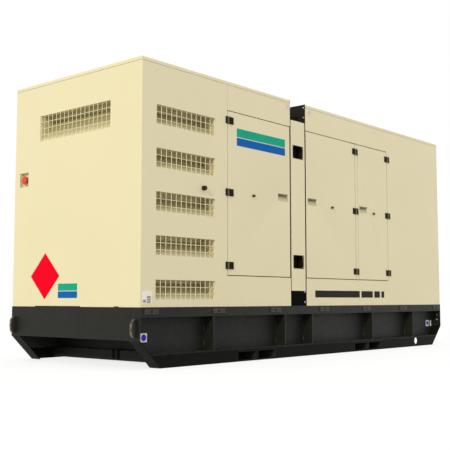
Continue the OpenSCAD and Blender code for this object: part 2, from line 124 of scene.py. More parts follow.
class Finish(Nodes):
    """A material in the making."""

    def __init__(self, name, roughness=0.5, metallic=0.0, specular=0.5):
        self.made = bpy.data.materials.new(name)
        self.made.use_nodes = True
        super().__init__(self.made.node_tree)
        self.shader = self.tree.nodes["Principled BSDF"]
        self.shader.inputs["Roughness"].default_value = roughness
        self.shader.inputs["Metallic"].default_value = metallic
        self.shader.inputs["Specular IOR Level"].default_value = specular
        self.place = self.node("ShaderNodeTexCoord").outputs["Object"]

    def noise(self, scale, detail, stretch=None):
        place = self.place
        if stretch:
            place = self.node("ShaderNodeMapping", {"Vector": place, "Scale": stretch}).outputs[0]
        values = {"Vector": place, "Scale": scale, "Detail": detail}
        return self.node("ShaderNodeTexNoise", values).outputs[0]

    def axis(self, letter, of=None):
        return self.node("ShaderNodeSeparateXYZ", {0: of or self.place}).outputs[letter]

    def normal(self, letter):
        return self.axis(letter, self.node("ShaderNodeNewGeometry").outputs["Normal"])

    def reach(self, letter):
        """How far the place is from the part's middle along an axis."""
        return self.maths("ABSOLUTE", self.axis(letter))

    def facing(self, letter):
        """How squarely the surface faces along an axis, either way."""
        return self.maths("ABSOLUTE", self.normal(letter))

    def edges(self, width):
        """Where the surface turns sharply, from 0 on flat ground to 1 on an edge."""
        flat = self.node("ShaderNodeNewGeometry").outputs["Normal"]
        round_off = self.node("ShaderNodeBevel", {"Radius": width}, samples=4).outputs[0]
        dot = self.node("ShaderNodeVectorMath", {0: flat, 1: round_off}, operation="DOT_PRODUCT")
        return self.ramp(dot.outputs["Value"], 0.995, 0.9)

    def blend(self, amount, under, over):
        """The colour under, with over laid on it by amount."""
        return self.node("ShaderNodeMix", {0: amount, 6: under, 7: over}, data_type="RGBA").outputs[2]

    def shade(self, colour, spread, scale):
        """The colour, a little lighter and darker from place to place."""
        patches = self.ramp(self.noise(scale, 4.0), 0.32, 0.68)
        return self.blend(patches, tinted(colour, 1 - spread), tinted(colour, 1 + spread))

    def foam(self, scale, detail, light):
        """Open foam cells, dark in their hollows."""
        cells = self.ramp(self.noise(scale, detail), 0.35, 0.65)
        return self.blend(cells, tinted(FOAM, 0.5), tinted(FOAM, light))

    def done(self, tone, grain, depth, strength, rough=None):
        """The material with its colour, its grain as a bump, and its roughness where that varies."""
        if isinstance(grain, tuple):
            grain = self.noise(*grain)
        bump = self.node("ShaderNodeBump", {"Height": grain, "Distance": depth, "Strength": strength})
        for key, value in (("Base Color", tone), ("Normal", bump.outputs[0]), ("Roughness", rough)):
            if value:
                self.tree.links.new(value, self.shader.inputs[key])
        return self.made


def tinted(colour, by):
    return [min(1.0, c * by) for c in colour]


PAINT = (0.764, 0.684, 0.468)
FOAM = (0.03, 0.03, 0.029)
# The paint's orange peel: its noise, its depth and its strength
PEEL = (620.0, 2.0), 0.00012, 0.6
PAST_FACE = 0.0006
LINED = {"X": OUTLET_X - WALL_T + PAST_FACE, "Y": -FRONT_Y - WALL_T + PAST_FACE, "Z": WALL_TOP_Z + PAST_FACE}


def canopy_paint(name, lined=False, colour=PAINT):
    """Powder coat on sheet metal, with the foam lining on the inside faces where lined."""
    f = Finish(name, 0.42, specular=0.34)
    rain = f.ramp(f.noise(9.0, 4.0, (1.0, 1.0, 0.05)), 0.5, 0.8, 0.0, 0.04)
    tone = f.blend(rain, f.shade(colour, 0.012, 1.3), (0.62, 0.545, 0.33))
    foot = f.ramp(f.axis("Z"), DECK_Z + 0.07, DECK_Z, 0.0, 0.22)
    dirt = f.times(foot, f.ramp(f.noise(26.0, 5.0), 0.42, 0.8))
    tone = f.blend(dirt, tone, (0.5, 0.43, 0.27))
    rough = f.ramp(f.noise(7.0, 4.0), 0.3, 0.7, 0.36, 0.5)
    if lined:
        near = [f.maths("LESS_THAN", f.reach(letter), limit) for letter, limit in LINED.items()]
        inside = reduce(f.times, near)
        tone = f.blend(inside, tone, f.foam(900.0, 2.0, 1.6))
        rough = f.maths("MAXIMUM", rough, inside)
    return f.done(tone, *PEEL, rough)


def baffle_paint(name):
    """Paint on the intake baffles: clean at the grille, with painted shade that darkens it further in, where
    the recess lies in shade.
    """
    f = Finish(name, 0.55, specular=0.3)
    from_side = f.maths("SUBTRACT", -FRONT_Y, f.reach("Y"))
    from_end = f.maths("SUBTRACT", -INLET_X, f.reach("X"))
    depth = f.ramp(f.maths("MINIMUM", from_side, from_end), 0.006, 0.08)
    # painted shade: deeper in, the paint turns towards the colour of the shaded interior; the cheeks take 12%
    # of it
    painted_baffle_shade = f.times(depth, f.ramp(f.noise(16.0, 3.0), 0.3, 0.7, 0.95, 1.0))
    plate = f.maths("LESS_THAN", f.maths("MAXIMUM", f.facing("X"), f.facing("Y")), 0.9)
    cheek = f.times(f.maths("SUBTRACT", 1.0, plate), 0.12)
    amount = f.times(painted_baffle_shade, f.maths("ADD", plate, cheek))
    return f.done(f.blend(amount, f.shade(PAINT, 0.016, 1.3), (0.39, 0.335, 0.165)), *PEEL)


def black_steel(name, colour=(0.013, 0.0127, 0.0116), worn=0.5, rubbed=False, specular=0.22, dusty=1.0,
        upper=None, outward=None, tips=None):
    """Black chassis paint with dust on its ledges and chipped edges. rubbed bares what stands out at the
    ends, and upper, outward and tips are the colours of high places, of side faces and of the ears' tips."""
    f = Finish(name, 0.5, specular=specular)
    tone = f.shade(colour, 0.1, 3.0)
    if upper:
        tone = f.blend(f.ramp(f.axis("Z"), 0.66, 0.84), tone, upper)
    if outward:
        tone = f.blend(f.ramp(f.facing("Y"), 0.5, 0.7), tone, outward)
    if tips:
        tone = f.blend(f.ramp(f.reach("X"), -INLET_X, -INLET_X + 0.03), tone, tips)
    spots = f.ramp(f.noise(60.0, 6.0), 0.5, 0.75)
    spots = f.maths("ADD", 0.25 * dusty, f.times(spots, 0.5 * dusty))
    tone = f.blend(f.times(f.ramp(f.normal("Z"), 0.55, 0.95), spots), tone, (0.12, 0.112, 0.09))
    haze = f.times(f.ramp(f.noise(18.0, 5.0), 0.45, 0.85), 0.05 * dusty)
    tone = f.blend(haze, tone, (0.06, 0.056, 0.046))
    chips = f.times(f.edges(0.005), f.ramp(f.noise(35.0, 4.0), 0.4, 0.7, 0.15, 1.0))
    tone = f.blend(f.times(chips, worn), tone, (0.15, 0.142, 0.125))
    if rubbed:
        proud = f.maths("GREATER_THAN", f.reach("X"), -INLET_X + 0.004)
        bare = f.times(proud, f.ramp(f.noise(42.0, 5.0), 0.42, 0.6, 0.0, 0.55))
        tone = f.blend(f.times(bare, f.ramp(f.facing("Y"), 0.5, 0.2)), tone, (0.3, 0.28, 0.25))
    rough = f.ramp(f.noise(24.0, 5.0), 0.3, 0.7, 0.46, 0.58)
    return f.done(tone, (260.0, 3.0), 0.00014, 0.7, rough)


def film(name, colour, roughness=0.35, worn=0.03, specular=0.05):
    """A printed or sprayed colour film, slightly uneven."""
    f = Finish(name, roughness, specular=specular)
    scuffs = f.times(f.ramp(f.noise(90.0, 5.0), 0.62, 0.84), worn)
    tone = f.blend(scuffs, f.shade(colour, 0.03, 14.0), [0.8 * c + 0.12 for c in colour])
    return f.done(tone, (500.0, 2.0), 0.00006, 0.5)


def fitting(name, colour, roughness=0.38, metallic=0.0, worn=0.35, specular=0.3):
    """Cast, moulded or plated small hardware."""
    f = Finish(name, roughness, metallic, specular)
    light = [min(1.0, 0.06 * tint + 1.3 * c) for tint, c in zip((1.0, 0.93, 0.78), colour)]
    tone = f.blend(f.times(f.edges(0.002), worn), f.shade(colour, 0.12, 40.0), light)
    rough = f.ramp(f.noise(120.0, 4.0), 0.3, 0.7, roughness - 0.08, roughness + 0.12)
    return f.done(tone, (700.0, 2.0), 0.00008, 0.6, rough)


def paddle_paint(name):
    """Paint in a latch's scoop, with painted shade that darkens it from its top down, where its lip shades
    the recess.
    """
    f = Finish(name, 0.42, specular=0.3)
    # painted shade: darker towards the scoop's top, for the shade under its lip; the paint below is a little
    # darker too, also for shade
    painted_scoop_shade = f.ramp(f.axis("Z"), CUP_MID_Z - CUP_H / 2, CUP_MID_Z + CUP_H / 2 - 0.02, 0.12, 1.0)
    painted_scoop_shade = f.times(painted_scoop_shade, f.ramp(f.noise(30.0, 4.0), 0.3, 0.7, 0.9, 1.0))
    return f.done(f.blend(painted_scoop_shade, tinted(PAINT, 0.92), (0.168, 0.148, 0.086)), *PEEL)


def machine_paint(name, colour):
    """Enamel on castings, with oily, dusty patches here and there."""
    f = Finish(name, 0.4, specular=0.5)
    grime = f.times(f.ramp(f.noise(14.0, 6.0), 0.5, 0.75), 0.45)
    tone = f.blend(grime, f.shade(colour, 0.1, 6.0), (0.035, 0.032, 0.028))
    rough = f.ramp(f.noise(11.0, 4.0), 0.3, 0.7, 0.3, 0.55)
    return f.done(tone, (180.0, 4.0), 0.0005, 0.7, rough)


def foam_lining(name):
    """Acoustic foam: a fine open skin over soft ridges."""
    f = Finish(name, 0.95, specular=0.1)
    ridges = f.node("ShaderNodeTexVoronoi", {"Vector": f.place, "Scale": 28.0}).outputs[0]
    return f.done(f.foam(700.0, 3.0, 1.7), ridges, 0.006, 0.8)


def cooling_fins(name):
    """A radiator core: close upright fins between dark tubes."""
    f = Finish(name, 0.5, specular=0.35)
    wave = {"Vector": f.place, "Scale": 60.0, "Distortion": 0.15}
    fins = f.node("ShaderNodeTexWave", wave, bands_direction="Y").outputs["Fac"]
    rows = f.node("ShaderNodeTexWave", dict(wave, Scale=16.0), bands_direction="Z").outputs["Fac"]
    tone = f.blend(fins, (0.008, 0.008, 0.008), (0.06, 0.06, 0.058))
    return f.done(f.blend(f.times(rows, 0.5), tone, (0.018, 0.018, 0.018)), fins, 0.002, 0.6)


M = {
    "paint": canopy_paint("canopy_paint"),
    "lined": canopy_paint("canopy_paint_lined", lined=True),
    "mesh": canopy_paint("screen_paint", colour=(0.74, 0.67, 0.46)),
    "deflector": canopy_paint("deflector_paint", colour=(0.76, 0.67, 0.38)),
    "baffle": baffle_paint("baffle_paint"),
    "paddle": paddle_paint("paddle_paint"),
    "black": black_steel("base_black"),
    "beam": black_steel("end_beam_black", (0.012, 0.0116, 0.0106), rubbed=True, specular=0.18),
    "ear": black_steel("ear_black", (0.015, 0.013, 0.012), rubbed=True, specular=0.18,
        tips=(0.046, 0.037, 0.033)),
    "skirt": black_steel("skirt_black", (0.0038, 0.0038, 0.0034), 0.04, specular=0.06, dusty=0.2),
    "ledge": black_steel("ledge_black", (0.009, 0.0088, 0.008), 0.12, specular=0.12, dusty=0.45),
    # painted light: the fork pockets' inner walls get a lighter black, for the light falling into them; faces
    # towards front and rear stay dark
    "tube": black_steel("fork_tube_painted_light", (0.027, 0.0245, 0.022), 0.03, specular=0.1, dusty=0.3,
        outward=(0.0085, 0.0083, 0.0076)),
    "under": black_steel("underframe_black", (0.0135, 0.0132, 0.0116), 0.2, specular=0.14),
    # painted shade: the posts are near black below, for the shade of the recess under the cover strips, with
    # a browner tone up high
    "post": black_steel("post_black_painted_shade", (0.0014, 0.0013, 0.0011), 0.1, specular=0.02, dusty=0.1,
        upper=(0.018, 0.0135, 0.008)),
    "link": black_steel("link_black", (0.0045, 0.0042, 0.0032), 0.1, specular=0.03, dusty=0.15),
    "bulkhead": black_steel("bulkhead_black", (0.0115, 0.0105, 0.009), 0.25, specular=0.15),
    "radiator": black_steel("radiator_black", (0.018, 0.018, 0.017)),
    "clip": fitting("clip_grey", (0.04, 0.038, 0.034), 0.45),
    "fitting": fitting("fittings_black", (0.0205, 0.0135, 0.003), 0.4, specular=0.03),
    # lighter grey of rubbed metal, which is also a painted highlight for the light on the round knuckles
    "knuckle": fitting("knuckle_grey_and_highlight", (0.088, 0.078, 0.052), 0.36),
    "brass": fitting("lock_brass", (0.06, 0.046, 0.017), 0.4, specular=0.15),
    "steel": fitting("bolt_steel", (0.36, 0.35, 0.33), 0.34, 0.85, 0.2),
    "alloy": fitting("engine_alloy", (0.34, 0.34, 0.33), 0.45, 0.7, 0.2),
    "dark_bolt": fitting("bolt_black", (0.014, 0.014, 0.013), 0.42),
    "red": fitting("stop_red", (0.62, 0.062, 0.038), 0.34, worn=0.1),
    # painted shade: a darker red for the mushroom's side and collar, which lie in shade
    "shaded_stop_red": fitting("stop_collar_painted_shade", (0.48, 0.06, 0.01), 0.42, worn=0.1),
    "rubber": fitting("seal_rubber", (0.01, 0.01, 0.01), 0.75, worn=0.1),
    "red_film": film("plate_red", (0.84, 0.0015, 0.02), worn=0.006, specular=0.01),
    "stripe": film("stripe_dark", (0.022, 0.019, 0.014), 0.45),
    "engine": machine_paint("engine_paint", (0.06, 0.105, 0.15)),
    "machine_dark": machine_paint("engine_dark", (0.022, 0.022, 0.021)),
    "fins": cooling_fins("radiator_fins"),
    "foam": foam_lining("foam_lining"),
}
FILMS = {
    "teal": (0.008, 0.36, 0.24), "blue": (0.004, 0.115, 0.43), "violet": (0.05, 0.03, 0.62),
    "white": (0.86, 0.8, 0.77), "grey": (0.3, 0.28, 0.25), "pink": (0.66, 0.5, 0.42),
    "faint": (0.74, 0.65, 0.54),
}
for key, colour in FILMS.items():
    M[key + "_film"] = film("plate_" + key, colour)

NODE_FINISH = {
    "black": "rail_bands rail_webs rail_ribs",
    "ledge": "rail_ledges",
    "tube": "fork_tubes",
    "skirt": "rail_skirts rail_end_strips",
    "under": "cross_beams fuel_tank deck",
    "beam": "end_beams",
    "link": "link_tunnel",
    "post": "lift_posts",
    "bulkhead": "bulkhead_inlet bulkhead_outlet",
    "lined": "end_wall_inlet end_wall_outlet grille_wall_front grille_wall_rear door_frame_inlet_front"
        " door_frame_inlet_rear door_frame_outlet_front door_frame_outlet_rear plain_wall_front"
        " plain_wall_rear roof_inlet roof_outlet",
    "paint": "cover_strips side_screens end_screens door_control door_engine door_service rear_doors",
    "baffle": "intake_baffles",
    "clip": "canopy_clips",
    "red": "emergency_stop",
    "fitting": "wall_locks fittings_control fittings_engine fittings_service hinges_frame rear_fittings",
    "engine": "alternator engine_block cylinder_banks",
    "radiator": "radiator",
}
for key, nodes in NODE_FINISH.items():
    for node in nodes.split():
        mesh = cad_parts[node].data
        mesh.materials.clear()
        mesh.materials.append(M[key])

# ---------------------------------------- shapes


def around(count, turn=0.0):
    """Angles evenly around a circle."""
    return [2 * math.pi * i / count + turn for i in range(count)]


def circle(centre, side, other, radius, count):
    """Points around centre, in the plane of the unit vectors side and other."""
    return [centre + (side * math.cos(a) + other * math.sin(a)) * radius for a in around(count)]


def add_box(bm, lo, hi, slot=0):
    """A box between two corners, whichever way round they are given."""
    xs, ys, zs = ((min(a, b), max(a, b)) for a, b in zip(lo, hi))
    corner = [bm.verts.new((x, y, z)) for x in xs for y in ys for z in zs]
    for quad in ((0, 1, 3, 2), (4, 6, 7, 5), (0, 4, 5, 1), (2, 3, 7, 6), (0, 2, 6, 4), (1, 5, 7, 3)):
        bm.faces.new([corner[i] for i in quad]).material_index = slot


def add_loft(bm, rings, slot=0):
    """Faces between rings of points, closed with a flat face at each end."""
    made = [[bm.verts.new(p) for p in ring] for ring in rings]
    count = len(made[0])
    for low, high in zip(made, made[1:]):
        for i in range(count):
            j = (i + 1) % count
            bm.faces.new((low[i], low[j], high[j], high[i])).material_index = slot
    bm.faces.new(made[0][::-1]).material_index = slot
    bm.faces.new(made[-1]).material_index = slot


def add_turned(bm, foot, axis, profile, sides=24, slot=0, turn=0.0):
    """A turned form: profile is (distance along the axis from foot, radius), from one end to the other."""
    to_axis = UP.rotation_difference(Vector(axis)).to_matrix()
    rings = []
    for along, r in profile:
        ring = [Vector((math.cos(a) * r, math.sin(a) * r, along)) for a in around(sides, turn)]
        rings.append([Vector(foot) + to_axis @ p for p in ring])
    add_loft(bm, rings, slot)


def mm(*sizes):
    """A turned form's profile from its distances along and radii, by turns and in millimetres."""
    return [(along / 1000, r / 1000) for along, r in zip(sizes[::2], sizes[1::2])]


def add_disc(bm, foot, axis, r, length, sides=24, slot=0):
    """A plain disc or round bar."""
    add_turned(bm, foot, axis, [(0, r), (length, r)], sides, slot)


def add_tube(bm, points, radius, sides=8, slot=0):
    """A round bar or pipe along points."""
    points = [Vector(p) for p in points]
    rings = []
    side = None
    for i, p in enumerate(points):
        ahead = (points[min(i + 1, len(points) - 1)] - points[max(i - 1, 0)]).normalized()
        if side is None:
            side = ahead.orthogonal()
        side = (side - ahead * side.dot(ahead)).normalized()
        rings.append(circle(p, side, ahead.cross(side), radius, sides))
    add_loft(bm, rings, slot)


def add_plate(bm, outline, thickness, normal, slot=0):
    """A flat plate: its outline's points, counter-clockwise seen from outside, and its thickness outwards."""
    add_loft(bm, [outline, [p + normal * thickness for p in outline]], slot)


def smooth_line(points, steps):
    """A smooth line through points, for pipes and hoses."""
    ps = [Vector(p) for p in points]
    ends = [2 * ps[0] - ps[1]] + ps + [2 * ps[-1] - ps[-2]]
    line = []
    for a, b, c, d in zip(ends, ends[1:], ends[2:], ends[3:]):
        for k in range(steps):
            t = k / steps
            line.append(0.5 * (2 * b + (c - a) * t + (2 * a - 5 * b + 4 * c - d) * t * t
                + (3 * b - a - 3 * c + d) * t ** 3))
    return line + [ps[-1]]


def add_bolt(bm, at, axis, size, slot=0):
    """A hexagon head on its washer. size is the head's radius across corners."""
    thin = size * 0.18
    add_turned(bm, at, axis, [(0, size * 1.45), (thin, size * 1.4)], 20, slot)
    head = [(thin, size), (size * 0.72, size), (size * 0.86, size * 0.8)]
    add_turned(bm, at, axis, head, 6, slot, turn=0.3)


def add_screw(bm, at, axis, size, slot):
    """A pan-head screw."""
    profile = [(0, size), (size * 0.25, size * 0.96), (size * 0.48, size * 0.66), (size * 0.56, size * 0.3)]
    add_turned(bm, at, axis, profile, 12, slot)


def mirrored(bm):
    """Adds the same shapes on the rear side."""
    made = bmesh.ops.duplicate(bm, geom=bm.verts[:] + bm.edges[:] + bm.faces[:])["geom"]
    points = [v for v in made if isinstance(v, bmesh.types.BMVert)]
    bmesh.ops.scale(bm, verts=points, vec=(1, -1, 1))
    bmesh.ops.reverse_faces(bm, faces=[f for f in made if isinstance(f, bmesh.types.BMFace)])


def mirror_rear(bm):
    """Moves the shapes to the rear side."""
    bmesh.ops.scale(bm, verts=bm.verts, vec=(1, -1, 1))
    bmesh.ops.reverse_faces(bm, faces=bm.faces)


def loose_parts(bm):
    """The mesh's points, grouped by the part that they belong to."""
    left = set(bm.verts)
    while left:
        part, open_ends = set(), [left.pop()]
        while open_ends:
            v = open_ends.pop()
            part.add(v)
            for e in v.link_edges:
                w = e.other_vert(v)
                if w in left:
                    left.remove(w)
                    open_ends.append(w)
        yield part


def part_box(points):
    """The lowest and the highest corner of a box around points."""
    return (Vector(pick(v.co[i] for v in points) for i in range(3)) for pick in (min, max))


def solid_of(node, keep=None):
    """A clean copy of a CAD node's mesh, whole faces instead of triangles. keep picks loose parts by box."""
    bm = bmesh.new()
    bm.from_mesh(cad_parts[node].data)
    bmesh.ops.remove_doubles(bm, verts=bm.verts, dist=1e-5)
    bmesh.ops.dissolve_limit(bm, angle_limit=math.radians(1), verts=bm.verts, edges=bm.edges)
    if keep:
        gone = [v for part in loose_parts(bm) if not keep(*part_box(part)) for v in part]
        bmesh.ops.delete(bm, geom=gone, context="VERTS")
    for f in bm.faces:
        f.material_index = 0
    return bm


def piece(name, bm, finishes, body="housing", bevel=0.0, chosen=None, stands_for=()):
    """Makes a mesh object that rides on a body. bevel softens its edges, or those that chosen picks."""
    mesh = bpy.data.meshes.new(name)
    if chosen:
        weights = bm.edges.layers.float.new("bevel_weight_edge")
        for e in bm.edges:
            if len(e.link_faces) == 2 and e.calc_face_angle(0) > 0.6 and chosen(e):
                e[weights] = 1.0
    for f in bm.faces:
        f.smooth = True
    bm.normal_update()
    bm.to_mesh(mesh)
    bm.free()
    mesh.set_sharp_from_angle(angle=math.radians(40))
    for key in [finishes] if isinstance(finishes, str) else finishes:
        mesh.materials.append(M[key])
    made = bpy.data.objects.new(name, mesh)
    bpy.context.scene.collection.objects.link(made)
    if bevel:
        soft = made.modifiers.new("edges", "BEVEL")
        soft.width = bevel
        soft.segments = 3
        soft.limit_method = "WEIGHT" if chosen else "ANGLE"
        soft.angle_limit = math.radians(40)
        soft.harden_normals = True
    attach(made, body)
    if stands_for:
        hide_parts(*stands_for)
    return made


# ---------------------------------------- canopy

ENDS = ((INLET_X, RIGHT), (OUTLET_X, LEFT))
GRILLE_COUNT, GRILLE_H, END_GRILLE_H = 5, 0.165, 0.238
MESH_PITCH, WIRE_R, WIRE_DEPTH = 0.059, 0.003, 0.0065
BAFFLE_DEPTH, DEFLECTOR_DEPTH = 0.15, 0.166
DEFLECTOR_DROP, DEFLECTOR_RISE = 0.09, 0.06
SHEET, PAD_T, CLEAR = 0.003, 0.014, 0.001


def add_screen(bm, corner, across, inward, width, height):
    """Round wires, welded where they cross, over an opening that starts at its lower corner."""
    columns = round(width / MESH_PITCH)
    for i in range(1, columns):
        foot = corner + across * width * i / columns + inward * WIRE_DEPTH
        add_tube(bm, [foot, foot + UP * height], WIRE_R)
    for j in range(1, math.floor((height - 2 * WIRE_R) / MESH_PITCH) + 1):
        start = corner + UP * (height - j * MESH_PITCH) + inward * (WIRE_DEPTH + 1.7 * WIRE_R)
        add_tube(bm, [start, start + across * width], WIRE_R)


def add_deflector(bm, corner, across, inward, width, height):
    """A folded sheet behind a baffle's slot, which turns the air down, with a foam pad on its back."""
    low, high = corner + UP * (height - DEFLECTOR_DROP), corner + UP * (height + DEFLECTOR_RISE)
    back, end = DEFLECTOR_DEPTH + SHEET, high + inward * (DEFLECTOR_DEPTH + SHEET)
    add_box(bm, low + inward * DEFLECTOR_DEPTH, end + across * width)
    pad = across * 0.004
    add_box(bm, low + pad + inward * back, end + across * width - pad + inward * PAD_T, 1)
    for along in (0.0, width - SHEET):
        fold = low + inward * BAFFLE_DEPTH + across * along
        add_box(bm, fold, high + inward * DEFLECTOR_DEPTH + across * (along + SHEET))
        cheek = corner + UP * height + inward * (WALL_T + CLEAR) + across * along
        far = high + inward * (BAFFLE_DEPTH - CLEAR) + across * (along + SHEET) - UP * SHEET
        add_box(bm, cheek, far)
    far = high + inward * DEFLECTOR_DEPTH + across * width - UP * SHEET
    add_box(bm, high + inward * (WALL_T + SHEET), far)


def grilles():
    """Wire screens in the side walls' columns of grilles and in the end walls, with the deflectors."""
    side, end, sheets = bmesh.new(), bmesh.new(), bmesh.new()
    lo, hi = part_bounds("side_screens")
    pitch = (hi.z - lo.z - GRILLE_H) / (GRILLE_COUNT - 1)
    for i in range(GRILLE_COUNT):
        opening = Vector((lo.x, FRONT_Y, lo.z + i * pitch)), RIGHT, BACK, hi.x - lo.x, GRILLE_H
        add_screen(side, *opening)
        add_deflector(sheets, *opening)
    mirrored(side)
    mirrored(sheets)
    lo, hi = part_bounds("end_screens")
    for x, inward in ENDS:
        opening = Vector((x, lo.y, lo.z)), BACK, inward, hi.y - lo.y, END_GRILLE_H
        add_screen(end, *opening)
        add_deflector(sheets, *opening)
    piece("side_mesh", side, "mesh", stands_for=["side_screens"])
    piece("end_mesh", end, "mesh", stands_for=["end_screens"])
    piece("deflectors", sheets, ["deflector", "foam"], bevel=0.0008)


def roofs():
    """Roof panels with a folded, rounded top edge on the three outer sides."""
    for node, gap_x in (("roof_inlet", GAP_X), ("roof_outlet", LINK_X)):
        def outer_top(e, gap_x=gap_x):
            middle = (e.verts[0].co + e.verts[1].co) / 2
            return middle.z > TOP_Z - 1e-4 and abs(middle.x - gap_x) > 0.02
        piece(node + "_panel", solid_of(node), "lined", bevel=0.009, chosen=outer_top, stands_for=[node])


DOORS = {
    "control": dict(swing=1, hinge_x=-1.5465, lock_x=-1.1735, leaf_w=0.08, frame_w=0.028),
    "engine": dict(swing=-1, hinge_x=0.6345, leaf_w=0.054, frame_w=0.054),
    "service": dict(swing=-1, hinge_x=1.3355, leaf_w=0.054, frame_w=0.054),
}
PAD_INSET, SEAL_INSET, SEAL_W, SEAL_T = 0.055, 0.01, 0.012, 0.004
SEAM = 0.008
SLOT_W, SLOT_H, SLOT_ZS = 0.164, 0.124, (0.378, 1.495)
EDGING, EDGING_OUT, EDGING_T = (0.008, 0.006), 0.001, 0.005


def add_pad(bm, key, side):
    """The foam pad on a door's inner face. side is 1 at the front and -1 at the rear."""
    lo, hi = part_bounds("door_" + key)
    inner = Vector((PAD_INSET, 0, PAD_INSET))
    y = side * hi.y
    add_box(bm, Vector((lo.x, y, lo.z)) + inner, Vector((hi.x, y + side * PAD_T, hi.z)) - inner)


def doors():
    """Leaves with folded edges, and the foam pad on each inner face."""
    rear = bmesh.new()
    for key in DOORS:
        node = "door_" + key
        piece("leaf_" + key, solid_of(node), "paint", node, bevel=0.0025, stands_for=[node])
        pad = bmesh.new()
        add_pad(pad, key, 1)
        piece("pad_" + key, pad, "foam", node, bevel=0.005)
        add_pad(rear, key, -1)
    piece("rear_leaves", solid_of("rear_doors"), "paint", bevel=0.0025, stands_for=["rear_doors"])
    piece("rear_pads", rear, "foam", bevel=0.005)


def add_frame(bm, xs, zs, border, y, deep):
    """A flat frame of four bars around an opening in a front face."""
    (x0, x1), (z0, z1), (wide, tall) = xs, zs, border
    for low, high in ((z0 - tall, z0), (z1, z1 + tall)):
        add_box(bm, (x0 - wide, y, low), (x1 + wide, y + deep, high))
    for a, b in ((x0 - wide, x0), (x1, x1 + wide)):
        add_box(bm, (a, y, z0), (b, y + deep, z1))


def door_seals():
    """A rubber bulb on the stop flange around each opening."""
    bm = bmesh.new()
    for key in DOORS:
        lo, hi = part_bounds("door_" + key)
        xs, zs = (lo.x + SEAL_INSET, hi.x - SEAL_INSET), (lo.z + SEAL_INSET, hi.z - SEAL_INSET)
        add_frame(bm, xs, zs, (SEAL_W, SEAL_W), FRONT_Y + WALL_T - 2 * SEAL_T, SEAL_T)
    mirrored(bm)
    piece("door_seals", bm, "rubber", bevel=0.0015)


def cover_strips():
    """The link's strips with their slots' rubber edging, and the dark joints at the door post's ends."""
    piece("link_strips", solid_of("cover_strips"), "paint", bevel=0.001, stands_for=["cover_strips"])
    bm = bmesh.new()
    middle = (GAP_X + LINK_X) / 2
    for z in SLOT_ZS:
        xs, foot = (middle - SLOT_W / 2, middle + SLOT_W / 2), DECK_Z + z
        add_frame(bm, xs, (foot, foot + SLOT_H), EDGING, FRONT_Y - EDGING_OUT, EDGING_T)
    engine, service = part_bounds("door_engine"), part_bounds("door_service")
    for z in (engine[0].z - SEAM, engine[1].z + 0.001):
        add_box(bm, (engine[1].x, FRONT_Y - 0.0004, z), (service[0].x, FRONT_Y + 0.002, z + SEAM - 0.001))
    mirrored(bm)
    piece("edgings", bm, "rubber")


# ---------------------------------------- hardware

HINGE_OUT, PIN_R, LEAF_SCREW_Z = 0.01, 0.0092, 0.018
HINGE_FINISHES = ["fitting", "dark_bolt", "knuckle"]
LATCH_FINISHES = ["fitting", "paddle", "brass"]
CUP_RIM, CUP_LIP, CUP_STEPS = 0.0015, 0.012, 8


def add_latch(bm, key, door):
    """A scoop with its paddle, and the lock barrel. Slots: 0 black, 1 scoop, 2 lock."""
    lo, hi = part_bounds("door_" + key)
    y = lo.y
    x = hi.x - CUP_INSET - CUP_W if door["swing"] > 0 else lo.x + CUP_INSET
    left, right = x + CUP_RIM, x + CUP_W - CUP_RIM
    top, foot = CUP_MID_Z + CUP_H / 2 - CUP_RIM, CUP_MID_Z - CUP_H / 2 + CUP_RIM
    deep, back = y + CUP_D - 0.007, y + CUP_D
    profile = [(back, top), (deep, top), (deep, top - CUP_LIP)]
    for k in range(1, CUP_STEPS + 1):
        t = k / CUP_STEPS
        depth = y + 0.0008 + (deep - y) * (1 - t) ** 1.4
        profile.append((depth, top - CUP_LIP - (top - foot - CUP_LIP) * t))
    profile.append((back, foot))
    add_loft(bm, [[Vector((end, *p)) for p in profile] for end in (left, right)], 1)
    add_box(bm, (left + 0.004, y + 0.004, top - 0.01), (right - 0.05, y + 0.01, top - 0.001), 1)
    barrel = Vector((door.get("lock_x", (lo.x + hi.x) / 2), y, HINGE_ZS[1]))
    add_turned(bm, barrel, FORTH, mm(0, 14, 3, 14, 4.5, 12.8), 28, 2)
    ring = mm(3, 11.5, 21, 11.5, 22, 10.5, 22, 8.8, 20.8, 8)
    add_turned(bm, barrel, FORTH, ring, 28, 2)
    add_box(bm, barrel + Vector((-0.0012, -0.0211, -0.005)), barrel + Vector((0.0012, -0.0204, 0.005)), 0)


def is_hinge(lo, hi):
    """Whether a loose part with this box is a hinge, which stands out further and taller than the rest."""
    return max(-lo.y, hi.y) > -FRONT_Y + 0.007 and hi.z - lo.z > 0.015


def add_hinge_screws(bm, door, leaf):
    """Screws in one leaf of a door's hinges: leaf_w is the door's own, frame_w the frame's."""
    width = door[leaf]
    out_to = door["swing"] if leaf == "leaf_w" else -door["swing"]
    for z in HINGE_ZS:
        for dx in {0.02, width - 0.013}:
            if dx < width - 0.006:
                for dz in (LEAF_SCREW_Z, -LEAF_SCREW_Z):
                    at = (door["hinge_x"] + out_to * dx, FRONT_Y - HINGE_OUT, z + dz)
                    add_screw(bm, at, FORTH, 0.005, 1)


def hinge_piece(name, bm, node, body="housing"):
    """Hinges, with the knuckles around each pin in a lighter grey: rubbed metal, and also a painted
    highlight.
    """
    for f in bm.faces:
        middle = f.calc_center_median()
        for door in DOORS.values():
            from_pin = Vector((middle.x - door["hinge_x"], abs(middle.y) + FRONT_Y - HINGE_OUT))
            if from_pin.length < PIN_R and abs(f.normal.z) < 0.5:
                f.material_index = 2
    piece(name, bm, HINGE_FINISHES, body, 0.0009, stands_for=[node])


